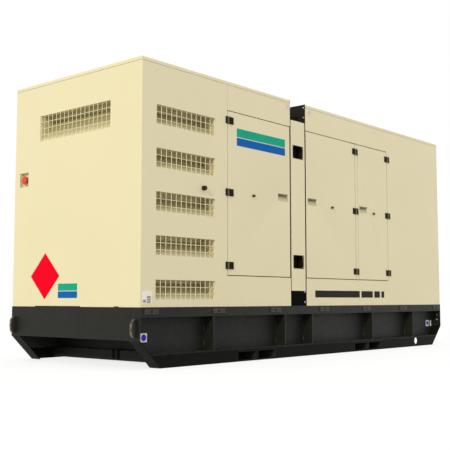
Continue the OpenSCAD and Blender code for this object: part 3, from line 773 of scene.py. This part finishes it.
def hardware():
    """Hinges, latches and locks: the moving halves ride on their doors, the rest on the frame."""
    fixed, latches, screws = solid_of("hinges_frame"), bmesh.new(), bmesh.new()
    for key, door in DOORS.items():
        moving = solid_of("fittings_" + key, is_hinge)
        add_hinge_screws(moving, door, "leaf_w")
        hinge_piece("hinges_" + key, moving, "fittings_" + key, "door_" + key)
        latch = bmesh.new()
        add_latch(latch, key, door)
        piece("latch_" + key, latch, LATCH_FINISHES, "door_" + key, 0.0005)
        add_latch(latches, key, door)
        add_hinge_screws(fixed, door, "frame_w")
        for leaf in ("leaf_w", "frame_w"):
            add_hinge_screws(screws, door, leaf)
    hinge_piece("hinges_fixed", fixed, "hinges_frame")
    mirror_rear(latches)
    piece("rear_latches", latches, LATCH_FINISHES, bevel=0.0005)
    mirror_rear(screws)
    piece("rear_screws", screws, HINGE_FINISHES)
    hinge_piece("rear_hinges", solid_of("rear_fittings", is_hinge), "rear_fittings")


def wall_knobs():
    """The turn-lock on each grille wall: a flanged root, a round grip and its slotted face."""
    lo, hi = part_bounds("wall_locks")
    foot = Vector(((lo.x + hi.x) / 2, FRONT_Y, (lo.z + hi.z) / 2))
    flange = mm(0, 22, 3, 22, 4.5, 20.5)
    stem = mm(3, 16, 12, 15.5, 14, 18, 16, 19)
    grip = mm(15, 18.5, 17, 20, 31, 20, 33.5, 18.2, 33.5, 14, 32.5, 13)
    bm = bmesh.new()
    for profile, slot in ((flange, 1), (stem, 1), (grip, 0)):
        add_turned(bm, foot, FORTH, profile, 32, slot)
    add_box(bm, foot + Vector((-0.0035, -0.0338, -0.0125)), foot + Vector((0.0035, -0.03, 0.0125)), 2)
    mirrored(bm)
    piece("turn_locks", bm, ["fitting", "brass", "knuckle"], bevel=0.0006,
        stands_for=["wall_locks"])


def emergency_stop():
    """A mushroom head on its collar, in the recess of the inlet end wall; the collar and the head's side are
    a darker red, painted shade.
    """
    lo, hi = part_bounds("emergency_stop")
    foot = Vector((hi.x, (lo.y + hi.y) / 2, (lo.z + hi.z) / 2))
    plate = mm(0, 31, 3, 31, 4.5, 29)
    collar = mm(3, 29, 24, 29, 28, 34, 30, 39.5, 36, 40.2)
    head = mm(35, 40.2, 38.5, 39.4, 41.5, 35.2, 43.8, 27.2, 44.9, 16, 45.2, 5)
    bm = bmesh.new()
    # the collar takes the darker red: painted shade
    for profile, sides, slot in ((plate, 36, 1), (collar, 36, 2), (head, 40, 0)):
        add_turned(bm, foot, LEFT, profile, sides, slot)
    piece("stop_button", bm, ["red", "paint", "shaded_stop_red"], stands_for=["emergency_stop"])


CLIP_COUNT, CLIP_W = 7, 0.16


def canopy_clips():
    """Clips that hold the canopy down, each with a bolt between two small ones."""
    lo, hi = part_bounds("canopy_clips")
    z = (lo.z + hi.z) / 2
    pitch = (hi.x - lo.x - CLIP_W) / (CLIP_COUNT - 1)
    bolts = bmesh.new()
    for i in range(CLIP_COUNT):
        x = lo.x + CLIP_W / 2 + i * pitch
        for dx, size, slot in ((0, 0.0105, 0), (-0.056, 0.0065, 1), (0.056, 0.0065, 1)):
            add_bolt(bolts, (x + dx, lo.y, z), FORTH, size, slot)
    mirrored(bolts)
    clips = solid_of("canopy_clips")
    piece("clip_plates", clips, "clip", bevel=0.002, stands_for=["canopy_clips"])
    piece("clip_bolts", bolts, ["dark_bolt", "clip"])


def sheet_bolts():
    """Bolts along the edges of the bulkheads' face sheets, in the open link."""
    bm = bmesh.new()
    from_side, from_top = 0.02, 0.03
    places = [(from_side, DECK_Z + z) for z in (2.046, 1.941, 0.137, 0.035)]
    places += [(y, TOP_Z - from_top) for y in (0.22, 0.44, 0.66)]
    for y, z in places:
        for x, axis in ((GAP_X, RIGHT), (LINK_X, LEFT)):
            add_bolt(bm, (x, FRONT_Y + y, z), axis, 0.0075)
    post_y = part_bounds("lift_posts")[0].y
    for z in (0.141, 0.037):
        add_bolt(bm, (LINK_X - 0.024, post_y, DECK_Z + z), FORTH, 0.008)
    mirrored(bm)
    piece("sheet_bolts", bm, "steel")


# ---------------------------------------- base frame

RIBS = (0.892, 1.945, 2.408, 3.586, 4.527)
WELDS, WELD_R = ((0.145, 0.197), (0.285, 0.33)), 0.0042
EAR_T, EAR_IN, EAR_DROP, EAR_HALF, EAR_PROUD = 0.026, 0.05, 0.172, 0.0765, 0.0013
EAR_SQUARENESS, EAR_STEPS = 3.0, 28


def add_weld(bm, start, end):
    """A rippled bead between two points."""
    steps = max(6, int((end - start).length / 0.004))
    ahead = (end - start).normalized()
    side = ahead.orthogonal().normalized()
    rings = []
    for k in range(steps + 1):
        t = k / steps
        fade = min(1.0, 4.0 * min(t, 1 - t) + 0.25)
        r = WELD_R * fade * (0.86 + 0.14 * math.cos(2.6 * k))
        rings.append(circle(start + (end - start) * t, side, ahead.cross(side), r, 8))
    add_loft(bm, rings)


def ears():
    """The end beams' ears, with the flatter outline and rounded corners of a flame-cut plate."""
    reach = INLET_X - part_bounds("end_beams")[0].x + EAR_PROUD
    bm = bmesh.new()
    for side in (-1, 1):
        root = Vector((side * (OUTLET_X - 0.001), FRONT_Y + EAR_IN + EAR_T / 2, DECK_Z - EAR_DROP))
        outline = []
        for k in range(EAR_STEPS + 1):
            a = math.pi * (k / EAR_STEPS - 0.5)
            out = reach * abs(math.cos(a)) ** (2 / EAR_SQUARENESS)
            up = EAR_HALF * math.copysign(abs(math.sin(a)) ** (2 / EAR_SQUARENESS), a)
            outline.append(root + RIGHT * side * out + UP * up)
        add_plate(bm, outline[::side], EAR_T, FORTH)
    mirrored(bm)
    piece("ears", bm, "ear", bevel=0.002)


def rib_welds():
    bm = bmesh.new()
    for rib in RIBS:
        for x in (INLET_X + rib - 0.001, INLET_X + rib + RIB_T + 0.001):
            for ends in WELDS:
                add_weld(bm, *(Vector((x, WEB_Y - 0.001, z)) for z in ends))
    mirrored(bm)
    piece("rib_welds", bm, "clip")


def base_details():
    """Bolts in the rails' ends, tabs between the end plates and the canopy, thin dark plates on the cross
    beam that paint the shade in its slots, and a small dark disc on the front.
    """
    bolts, tabs, slots = bmesh.new(), bmesh.new(), bmesh.new()
    for x, axis in ENDS:
        for z in (0.31, 0.372):
            add_bolt(bolts, (x + axis.x * RIB_T, FRONT_Y + 0.045, z), axis, 0.008)
        for y, width in ((0.25, 0.06), (0.75, 0.64)):
            low = (x, FRONT_Y + y, DECK_Z - 0.03)
            add_box(tabs, low, (x - axis.x * SHEET, FRONT_Y + y + width, DECK_Z + 0.006))
    mirrored(bolts)
    piece("rail_bolts", bolts, "steel")
    piece("end_tabs", tabs, "beam", bevel=0.001)
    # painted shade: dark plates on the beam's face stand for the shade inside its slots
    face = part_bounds("cross_beams")[0].x
    for y in (-0.13, -0.064):
        add_box(slots, (face - 0.0015, y, 0.03), (face, y + 0.038, 0.122))
    add_disc(slots, (INLET_X + 0.345, FRONT_Y, 0.1), FORTH, 0.014, 0.0008, 16)
    piece("painted_slot_shades", slots, "link")


# ---------------------------------------- engine set behind the doors

block_lo, block_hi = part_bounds("engine_block")
SHAFT_Z = block_hi.z - block_hi.y
CYLINDERS = 6
BANK_W, BANK_H, BANK_LEAN = 0.23, 0.33, math.radians(35)
FEET_FROM_END, FEET_L, TERMINALS_L = 0.12, 0.56, 0.42
FAN_R, FAN_T, FAN_RISE, CORE_T = 0.56, 0.14, 0.19, 0.18
FAN_Z = SHAFT_Z + FAN_RISE
CORE_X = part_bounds("radiator")[1].x - CORE_T
PULLEY_T = 0.045
MACHINE = ["engine", "machine_dark", "alloy", "steel"]


def machine_piece(name, bm, bevel, finishes=MACHINE, stands_for=()):
    piece(name, bm, finishes, bevel=bevel, stands_for=stands_for)


def add_bar(bm, start, end, half_width, height, slot=0):
    """A straight bar of rectangular section, with vectors for its half width and its height."""
    rings = []
    for p in (start, end):
        left, right = p + half_width, p - half_width
        rings.append([left, left + height, right + height, right])
    add_loft(bm, rings, slot)


def spokes(count, turn=0.0):
    """Unit vectors around the shaft, each with the one square to it."""
    for a in around(count, turn):
        yield Vector((0, math.cos(a), math.sin(a))), Vector((0, -math.sin(a), math.cos(a)))


def add_canister(bm, at, axis, r, length):
    """A spin-on filter or an air cleaner: a can with a rolled head and a domed foot."""
    profile = [(0, r * 0.75), (0, r), (r * 0.12, r * 1.06), (r * 0.35, r * 1.06), (r * 0.4, r)]
    profile += [(length * 0.94, r), (length * 0.985, r * 0.9), (length, r * 0.6)]
    add_turned(bm, at, axis, profile, 28, 1)


def alternator():
    """A ribbed stator between its end covers, on welded feet, with the terminal box on top."""
    lo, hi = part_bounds("alternator")
    r, length = hi.y, hi.x - lo.x
    end = Vector((lo.x, 0, SHAFT_Z))
    cover, flange, stator, neck = 0.14, 0.025, r - 0.024, r - 0.045
    near, far = cover + flange, length - cover - flange
    bm = bmesh.new()
    profile = [(0, 0.1), (0, r - 0.1), (0.025, r - 0.055), (cover, neck), (cover, r), (near, r),
        (near, stator), (far, stator), (far, r), (length - cover, r), (length - cover, neck),
        (length - flange, neck), (length - flange, r), (length, r)]
    add_turned(bm, end, RIGHT, profile, 64)
    for out, side in spokes(40, 0.04):
        rib = end + RIGHT * (near - 0.001) + out * (stator - 0.002)
        add_bar(bm, rib, rib + RIGHT * (length - 2 * near + 0.002), side * 0.0035, out * 0.022)
        vent = end + out * (r - 0.054)
        add_bar(bm, vent + RIGHT * 0.04, vent + RIGHT * 0.122, side * 0.008, out * 0.008, 1)
    for out, _ in spokes(12):
        add_bolt(bm, end + RIGHT * cover + out * (r - 0.022), LEFT, 0.009, 3)
    x0 = lo.x + FEET_FROM_END
    x1 = x0 + FEET_L
    foot = DECK_Z + 0.018
    for side in (-1, 1):
        add_box(bm, (x0, side * 0.22, DECK_Z), (x1, side * 0.12, foot))
        add_box(bm, (x0, side * 0.185, foot), (x1, side * 0.17, SHAFT_Z - 0.26))
        for x in (x0, (x0 + x1) / 2, x1 - 0.015):
            add_box(bm, (x, side * 0.215, foot), (x + 0.015, side * 0.13, SHAFT_Z - 0.25))
        for x in (x0 + 0.08, x1 - 0.08):
            add_bolt(bm, (x, side * 0.203, foot), UP, 0.014, 3)
    x1 = x0 + TERMINALS_L
    wall, foot = -0.196, SHAFT_Z + 0.24
    add_box(bm, (x0 + 0.004, wall, foot), (x1 - 0.004, -wall, hi.z - 0.014))
    add_box(bm, (x0, wall - 0.004, hi.z - 0.016), (x1, 0.004 - wall, hi.z))
    add_box(bm, (x0 + 0.03, wall - 0.004, foot + 0.08), (x1 - 0.03, wall, hi.z - 0.034))
    out = -r - 0.05
    gland, socket = mm(0, 32, 20, 32, 30, 24), mm(0, 34, 12, 34, 30, 24)
    for x in (x0 + 0.05, (x0 + x1) / 2, x1 - 0.05):
        for z in (foot + 0.095, hi.z - 0.05):
            add_screw(bm, (x, wall - 0.004, z), FORTH, 0.007, 3)
        duct = [(wall, foot + 0.05), (wall - 0.1, foot + 0.045), (out + 0.005, foot - 0.06),
            (out, SHAFT_Z), (out, DECK_Z + 0.2), (out, DECK_Z)]
        add_tube(bm, smooth_line([(x, y, z) for y, z in duct], 6), 0.019, 12, 1)
        add_turned(bm, (x, wall + 0.002, foot + 0.05), FORTH, gland, 6, 3)
        add_turned(bm, (x, out, DECK_Z), UP, socket, 16, 3)
    machine_piece("alternator_set", bm, 0.0015, stands_for=["alternator"])


def bank_frame():
    """A front cylinder bank's inner lower edge, the unit vectors outwards and up along it, and its length."""
    lo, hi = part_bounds("cylinder_banks")
    outward = Vector((0, -math.cos(BANK_LEAN), -math.sin(BANK_LEAN)))
    upward = Vector((0, -math.sin(BANK_LEAN), math.cos(BANK_LEAN)))
    foot = Vector((lo.x, lo.y - upward.y * BANK_H - outward.y * BANK_W, hi.z - upward.z * BANK_H))
    return foot, outward, upward, hi.x - lo.x


def turbo_centre():
    """The middle of the front bank's turbocharger, above the flywheel housing."""
    foot = bank_frame()[0]
    return Vector((foot.x + 0.01, -0.23, foot.z + 0.43))


def cylinder_tops():
    """Heads with their covers, exhaust ports and collecting pipe, and the inlet plenum with its runners."""
    foot, outward, upward, length = bank_frame()
    top = foot + upward * BANK_H + outward * BANK_W / 2
    port = foot + outward * BANK_W + upward * BANK_H * 0.62
    pitch = length / CYLINDERS
    far = RIGHT * pitch * 0.88
    bm = bmesh.new()
    for i in range(CYLINDERS):
        head = top + RIGHT * pitch * (i + 0.06)
        add_bar(bm, head, head + far, outward * BANK_W * 0.49, upward * 0.016)
        lid = head + upward * 0.016 + RIGHT * 0.012
        add_bar(bm, lid, lid + far - RIGHT * 0.024, outward * 0.088, upward * 0.058, 2)
        for share in (0.25, 0.75):
            add_bolt(bm, head + far * share + upward * 0.074, upward, 0.01, 3)
        middle = RIGHT * pitch * (i + 0.5)
        branch = mm(0, 50, 14, 50, 15, 34, 75, 34)
        add_turned(bm, port + middle, outward, branch, 20, 2)
        runner = foot + middle + upward * 0.215
        add_tube(bm, [runner, Vector((runner.x, -0.11, runner.z + 0.03))], 0.03, 16, 2)
    log = port + outward * 0.085
    add_tube(bm, [log + RIGHT * 0.03, log + RIGHT * (length - 0.03)], 0.044, 24, 1)
    riser = [log + RIGHT * 0.06, log + RIGHT * 0.035 + upward * 0.14]
    riser += [turbo_centre() + Vector((0.01, y, z)) for y, z in ((-0.075, -0.12), (-0.045, -0.04))]
    add_tube(bm, smooth_line(riser, 8), 0.036, 20, 1)
    mirrored(bm)
    level = foot.z + 0.12
    plenum = (foot.x + 0.04, -0.13, level), (foot.x + length - 0.04, 0.13, level + 0.16)
    add_box(bm, *plenum, 2)
    machine_piece("cylinder_tops", bm, 0.003)


def breathing():
    """Turbochargers, and the air cleaners in their cradles above the banks."""
    foot, _, upward, _ = bank_frame()
    centre = turbo_centre()
    bm = bmesh.new()
    volute = mm(0, 40, 4, 85, 30, 104, 60, 85, 66, 45)
    add_turned(bm, centre - RIGHT * 0.04, RIGHT, volute, 28, 1)
    add_disc(bm, centre + RIGHT * 0.02, RIGHT, 0.042, 0.07, 20, 1)
    add_turned(bm, centre + RIGHT * 0.085, RIGHT, volute, 28, 2)
    add_disc(bm, centre + RIGHT * 0.145, RIGHT, 0.052, 0.05, 24, 2)
    crown = foot.z + upward.z * BANK_H
    add_box(bm, (centre.x + 0.03, -0.3, crown - 0.03), (centre.x + 0.085, -0.16, centre.z - 0.03))
    can_r, can_l, strap = 0.135, 0.43, 0.035
    can = Vector((centre.x + 0.33, -0.27, crown + 0.03 + can_r + 0.02))
    add_canister(bm, can, RIGHT, can_r, can_l)
    add_disc(bm, can - RIGHT * 0.07, RIGHT, 0.06, 0.075, 24, 1)
    intake = [centre + RIGHT * 0.19, centre + RIGHT * 0.225, can - RIGHT * 0.085, can - RIGHT * 0.05]
    add_tube(bm, smooth_line(intake, 8), 0.054, 24, 1)
    for share in (0.2, 0.75):
        x = can.x + can_l * share
        add_disc(bm, (x, can.y, can.z), RIGHT, can_r + 0.004, strap, 32, 3)
        saddle = crown + 0.012
        add_box(bm, (x, can.y - 0.09, saddle), (x + strap, can.y + 0.09, can.z - can_r * 0.72))
        add_box(bm, (x - 0.006, -0.45, crown), (x + strap + 0.006, 0.0, saddle))
    mirrored(bm)
    machine_piece("breathing", bm, 0.002)


def engine_case():
    """The block with its ribs, sump rail, mounts, filters and starter."""
    machine_piece("engine_case", solid_of("engine_block"), 0.006, "engine", ["engine_block"])
    machine_piece("cylinder_blocks", solid_of("cylinder_banks"), 0.006, "engine", ["cylinder_banks"])
    lo, hi = block_lo, block_hi
    block, sump, floor_z = 0.26, 0.18, DECK_Z + 0.26
    foot, _, _, length = bank_frame()
    bm = bmesh.new()
    for i in range(CYLINDERS + 1):
        x = foot.x + length * i / CYLINDERS
        add_box(bm, (x - 0.007, -block - 0.014, floor_z + 0.02), (x + 0.007, -block, foot.z - 0.14))
    for i in range(CYLINDERS):
        plug = Vector((foot.x + length * (i + 0.5) / CYLINDERS, -block, floor_z + 0.2))
        add_turned(bm, plug, FORTH, mm(0, 36, 6, 36, 8, 28), 24, 3)
    rail = (lo.x + 0.24, -sump - 0.03, floor_z - 0.022)
    add_box(bm, rail, (hi.x - 0.24, sump + 0.03, floor_z - 0.001))
    for i in range(12):
        add_bolt(bm, (lo.x + 0.29 + i * 0.0745, -sump - 0.016, floor_z - 0.022), -UP, 0.007, 3)
    buffer = mm(0, 62, 12, 62, 13, 46, 75, 40)
    for share in (0.22, 0.78):
        x = lo.x + (hi.x - lo.x) * share
        add_box(bm, (x, -0.4, floor_z + 0.01), (x + 0.09, -block, floor_z + 0.03))
        add_box(bm, (x + 0.038, -0.39, DECK_Z + 0.09), (x + 0.052, 0.001 - block, floor_z + 0.012))
        add_box(bm, (x - 0.01, -0.4, DECK_Z + 0.075), (x + 0.1, -0.27, DECK_Z + 0.092))
        add_turned(bm, (x + 0.045, -0.335, DECK_Z), UP, buffer, 24, 1)
        add_bolt(bm, (x + 0.045, -0.38, DECK_Z + 0.092), UP, 0.014, 3)
    for x, r, drop in ((0.3, 0.052, 0.23), (0.42, 0.052, 0.23), (0.54, 0.043, 0.19)):
        head = Vector((x, -block - 0.075, foot.z - 0.175))
        add_box(bm, head + Vector((-0.045, -0.045, 0)), head + Vector((0.045, 0.076, 0.045)), 2)
        add_canister(bm, head, -UP, r, drop)
    starter = Vector((lo.x + 0.12, -block - 0.07, floor_z + 0.11))
    drum = mm(0, 60, 10, 78, 60, 78, 65, 68, 270, 68, 280, 50)
    add_turned(bm, starter, RIGHT, drum, 28, 1)
    switch = mm(0, 34, 150, 34, 155, 22)
    add_turned(bm, starter + Vector((0.065, -0.02, 0.095)), RIGHT, switch, 20, 1)
    mirrored(bm)
    machine_piece("engine_fittings", bm, 0.002)


def engine_front():
    """Pulleys under a belt guard, and the coolant pipes to the radiator."""
    face, core = block_hi.x, CORE_X
    bm = bmesh.new()
    guard = []
    for z, r, guard_r, start in ((SHAFT_Z, 0.13, 0.17, math.pi), (FAN_Z, 0.105, 0.145, 0.0)):
        pulley = [(0, r), (0.012, r), (0.02, r - 0.012), (0.028, r), (PULLEY_T, r)]
        add_turned(bm, (face, 0, z), RIGHT, pulley, 36, 1)
        for k in range(13):
            a = start + k * math.pi / 12
            guard.append(Vector((face + PULLEY_T, guard_r * math.cos(a), z + guard_r * math.sin(a))))
    add_plate(bm, guard, 0.02, RIGHT, 3)
    low = [(face - 0.02, -0.15, SHAFT_Z - 0.16), (face + 0.06, -0.19, SHAFT_Z - 0.18),
        (core - 0.2, -0.52, DECK_Z + 0.07), (core + 0.02, -0.56, DECK_Z + 0.055)]
    high = [(face - 0.06, -0.14, SHAFT_Z + 0.24), (face - 0.05, -0.18, SHAFT_Z + 0.42),
        (face + 0.05, -0.3, 1.83), (core - 0.12, -0.42, 1.945), (core + 0.02, -0.43, 1.95)]
    pipes = bmesh.new()
    for run in (low, high):
        line = smooth_line(run, 8)
        add_tube(pipes, line, 0.032, 20, 1)
        for i in (3, len(line) - 9):
            add_disc(pipes, line[i], (line[i + 1] - line[i]).normalized(), 0.037, 0.014, 24, 3)
    mirrored(pipes)
    machine_piece("engine_pulleys", bm, 0.002)
    piece("coolant_pipes", pipes, MACHINE)


def radiator():
    """The core between its tanks and side channels, with the fan in its shroud and wire guard."""
    lo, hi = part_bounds("radiator")
    core, half, tank, channel = CORE_X, hi.y, 0.1, 0.07
    hub = Vector((core - FAN_T, 0, FAN_Z))
    case, fins, fan = bmesh.new(), bmesh.new(), bmesh.new()
    for z0, z1 in ((lo.z, lo.z + tank), (hi.z - tank, hi.z)):
        add_box(case, (core, lo.y, z0), (hi.x, half, z1))
    for y0, y1 in ((lo.y, lo.y + channel), (half - channel, half)):
        add_box(case, (core, y0, lo.z + tank), (hi.x, y1, hi.z - tank))
    lip = FAN_R + 0.012
    shroud = [(0.06, FAN_R - 0.02), (0, FAN_R - 0.012), (0, FAN_R), (0.02, lip), (FAN_T, lip)]
    add_turned(case, hub, RIGHT, shroud, 72)
    bolts = [(y, hi.z - 0.03) for y in (-0.54, -0.18, 0.18, 0.54)]
    bolts += [(y, z) for z in (0.7, 1.1, 1.5, 1.8) for y in (lo.y + 0.035, half - 0.035)]
    for y, z in bolts:
        add_bolt(case, (core, y, z), LEFT, 0.01, 2)
    cap = mm(0, 45, 30, 45, 36, 36)
    add_turned(case, (core + 0.09, 0.25, hi.z - 0.005), UP, cap, 24, 2)
    piece("radiator_case", case, ["radiator", "radiator", "steel"], bevel=0.003,
        stands_for=["radiator"])
    low = (core + 0.025, lo.y + channel - 0.001, lo.z + tank - 0.001)
    add_box(fins, low, (hi.x - 0.025, half - channel + 0.001, hi.z - tank + 0.001))
    piece("radiator_core", fins, "fins", bevel=0.001)
    add_disc(fan, (block_hi.x, 0, FAN_Z), RIGHT, 0.06, core - FAN_T - lo.x + 0.01, 28)
    add_turned(fan, hub, RIGHT, mm(0, 85, 55, 95), 32)
    for out, side in spokes(8):
        blade = []
        for reach, chord, twist in ((0.08, 0.07, 0.9), (0.3, 0.1, 0.7), (FAN_R - 0.034, 0.12, 0.5)):
            way = side * math.cos(twist) + RIGHT * math.sin(twist) * 0.35
            at = hub + RIGHT * 0.034 + out * reach
            blade.append([at - way * chord, at + RIGHT * 0.003, at + way * chord, at + RIGHT * 0.007])
        add_loft(fan, blade)
    guard_r = FAN_R - 0.004
    for k in range(1, 9):
        ring = [p - RIGHT * 0.004 for p in circle(hub, BACK, UP, guard_r * k / 8, 48)]
        add_tube(fan, ring + ring[:1], 0.0028, 6, 1)
    for out, _ in spokes(12, 0.13):
        add_tube(fan, [hub + out * reach - RIGHT * 0.009 for reach in (0.07, guard_r)], 0.0032, 6, 1)
    piece("fan_and_guard", fan, ["machine_dark", "steel"])


# ---------------------------------------- plates and films

FILM_T, MARK_T = 0.0012, 0.0008
PLATE_REACH, PLATE_RIM = 0.21, 0.01
WALL_LABEL_X, WALL_LABEL_Z, WALL_LABEL = 0.028, 0.029, (0.106, 0.102)
WALL_MARKS = ((0.008, 0.01, 0.028, 0.022), (0.05, 0.006, 0.042, 0.015), (0.05, 0.026, 0.042, 0.015),
    (0.05, 0.046, 0.042, 0.015))
STRIPE_X, STRIPE_Z, STRIPE_H, STRIPE_GAP = 2.468, 0.084, 0.072, 0.036
FAINT_LABEL, RAIL_LABEL, RAIL_SLIP = (0.074, 0.068), (0.074, 0.074), (0.036, 0.072)


def add_label(bm, corner, across, normal, size, slot=0, round_r=0.004, lift=0.0):
    """A thin film with rounded corners. corner is its lower left corner on the wall."""
    w, h = size
    outline = []
    for cx, cy, start in ((w, 0, -90), (w, h, 0), (0, h, 90), (0, 0, 180)):
        centre = (cx - math.copysign(round_r, cx - w / 2), cy - math.copysign(round_r, cy - h / 2))
        for k in range(5):
            a = math.radians(start + 90 * k / 4)
            u, v = centre[0] + round_r * math.cos(a), centre[1] + round_r * math.sin(a)
            outline.append(corner + across * u + UP * v + normal * lift)
    add_plate(bm, outline, FILM_T, normal, slot)


def two_band_plate(name, corner, across, normal, size, body):
    """A plain plate in two level bands with a thin pale line between them."""
    bm = bmesh.new()
    w, h = size
    line, low = 0.05 * h, 0.46 * h
    add_label(bm, corner, across, normal, (w, low), 0)
    add_label(bm, corner + UP * (low + line), across, normal, (w, h - low - line), 1)
    piece(name, bm, ["blue_film", "teal_film"], body)


def plates():
    """The plain red diamond, raised inside its rim, and the two plates in two bands."""
    centre = inlet(1.253, 0.273)
    bm = bmesh.new()
    for size, out in ((PLATE_REACH, 0.0016), (PLATE_REACH - PLATE_RIM, 0.0024)):
        add_plate(bm, [centre + way * size for way in (UP, BACK, -UP, FORTH)], out, LEFT)
    piece("red_plate", bm, "red_film", bevel=0.0005)
    two_band_plate("end_plate_bands", inlet(1.059, 0.076), FORTH, LEFT, (0.267, 0.127), "housing")
    two_band_plate("door_plate_bands", front(1.216, 1.492), RIGHT, FORTH, (0.746, 0.163), "door_control")


def labels():
    """A dark stripe in four lengths along the wall's foot, and small plain labels on wall and rail."""
    stripe, wall, rail = bmesh.new(), bmesh.new(), bmesh.new()
    x = STRIPE_X
    for length in (0.86, 0.24, 0.12, 0.06):
        add_label(stripe, front(x, STRIPE_Z), RIGHT, FORTH, (length, STRIPE_H), 0, 0.003)
        x += length + STRIPE_GAP
    piece("wall_stripe", stripe, "stripe")
    add_label(wall, front(WALL_LABEL_X, WALL_LABEL_Z), RIGHT, FORTH, WALL_LABEL)
    for dx, dz, *size in WALL_MARKS:
        corner = front(WALL_LABEL_X + dx, WALL_LABEL_Z + dz)
        add_label(wall, corner, RIGHT, FORTH, size, 1, 0.002, FILM_T)
    for x in (1.974, 2.354):
        add_label(wall, front(x, 1.97), RIGHT, FORTH, FAINT_LABEL, 2)
        add_disc(wall, front(x + 0.037, 2.004, FILM_T), FORTH, 0.016, MARK_T, 24, 3)
    piece("wall_labels", wall, ["white_film", "grey_film", "faint_film", "pink_film"])
    for x, z, size in ((0.118, -0.289, RAIL_LABEL), (5.084, -0.274, RAIL_LABEL), (5.192, -0.274, RAIL_SLIP)):
        corner = Vector((INLET_X + x, WEB_Y, DECK_Z + z))
        add_label(rail, corner, RIGHT, FORTH, size)
        if size == RAIL_LABEL:
            add_disc(rail, corner + Vector((0.037, -FILM_T, 0.037)), FORTH, 0.028, MARK_T, 28, 1)
    piece("rail_labels", rail, ["white_film", "violet_film"])


# ---------------------------------------- stage

SKY = 0.99
FLOOR_GLOW = 0.8


def floor():
    """A pale floor that only takes a faint shadow."""
    bpy.ops.mesh.primitive_plane_add(size=400)
    plane = bpy.context.object
    plane.name = "floor"
    f = Finish("floor_pale", 0.9, specular=0.1)
    seen = f.seen()
    tone = f.blend(seen, f.shade((0.5, 0.5, 0.5), 0.01, 0.5), (0.98, 0.98, 0.98))
    f.tree.links.new(tone, f.shader.inputs["Base Color"])
    glow = f.node("ShaderNodeEmission", {"Color": (1, 1, 1), "Strength": 1.0}).outputs[0]
    parts = {0: f.times(seen, FLOOR_GLOW), 1: f.shader.outputs[0], 2: glow}
    mix = f.node("ShaderNodeMixShader", parts).outputs[0]
    f.tree.links.new(mix, f.tree.nodes["Material Output"].inputs["Surface"])
    plane.data.materials.append(f.made)


def sky():
    """A soft, plain light from all round."""
    world = bpy.data.worlds.new("sky")
    bpy.context.scene.world = world
    world.use_nodes = True
    f = Nodes(world.node_tree)
    light = f.tree.nodes["Background"]
    light.inputs["Color"].default_value = (1, 1, 1, 1)
    f.tree.links.new(f.ramp(f.seen(), 0.0, 1.0, SKY), light.inputs["Strength"])


def sun(name, travel, strength, angle, colour):
    """A sun lamp whose light travels one way. angle is its softness in degrees."""
    lamp = bpy.data.lights.new(name, "SUN")
    lamp.energy = strength
    lamp.angle = math.radians(angle)
    lamp.color = colour
    made = bpy.data.objects.new(name, lamp)
    made.rotation_euler = Vector(travel).to_track_quat("-Z", "Y").to_euler()
    bpy.context.scene.collection.objects.link(made)


CAMERA_AT, LENS_MM, SENSOR_MM = (-7.226, -5.773, 0.565), 66.08, 36.0
TILT_DEG, AIM_DEG = 5.153, 40.955


def lights_and_camera():
    sun("key", (1.0, 0.31, -0.42), strength=1.31, angle=2.0, colour=(1.0, 0.98, 0.62))
    sun("fill", (-1.0, -0.6, -0.5), strength=0.45, angle=40.0, colour=(1.0, 1.0, 1.0))
    lens = bpy.data.cameras.new("camera")
    lens.lens = LENS_MM
    lens.sensor_width = SENSOR_MM
    lens.clip_end = 1000.0
    camera = bpy.data.objects.new("camera", lens)
    camera.location = CAMERA_AT
    camera.rotation_euler = (math.radians(90 + TILT_DEG), 0, math.radians(AIM_DEG - 90))
    bpy.context.scene.collection.objects.link(camera)
    bpy.context.scene.camera = camera
    bpy.context.scene.view_settings.view_transform = "Standard"


STEPS = (lights_and_camera, floor, sky, grilles, roofs, doors, door_seals, cover_strips, hardware,
    wall_knobs, emergency_stop, canopy_clips, sheet_bolts, ears, rib_welds, base_details, alternator,
    engine_case, cylinder_tops, breathing, engine_front, radiator, plates, labels)
for step in STEPS:
    step()
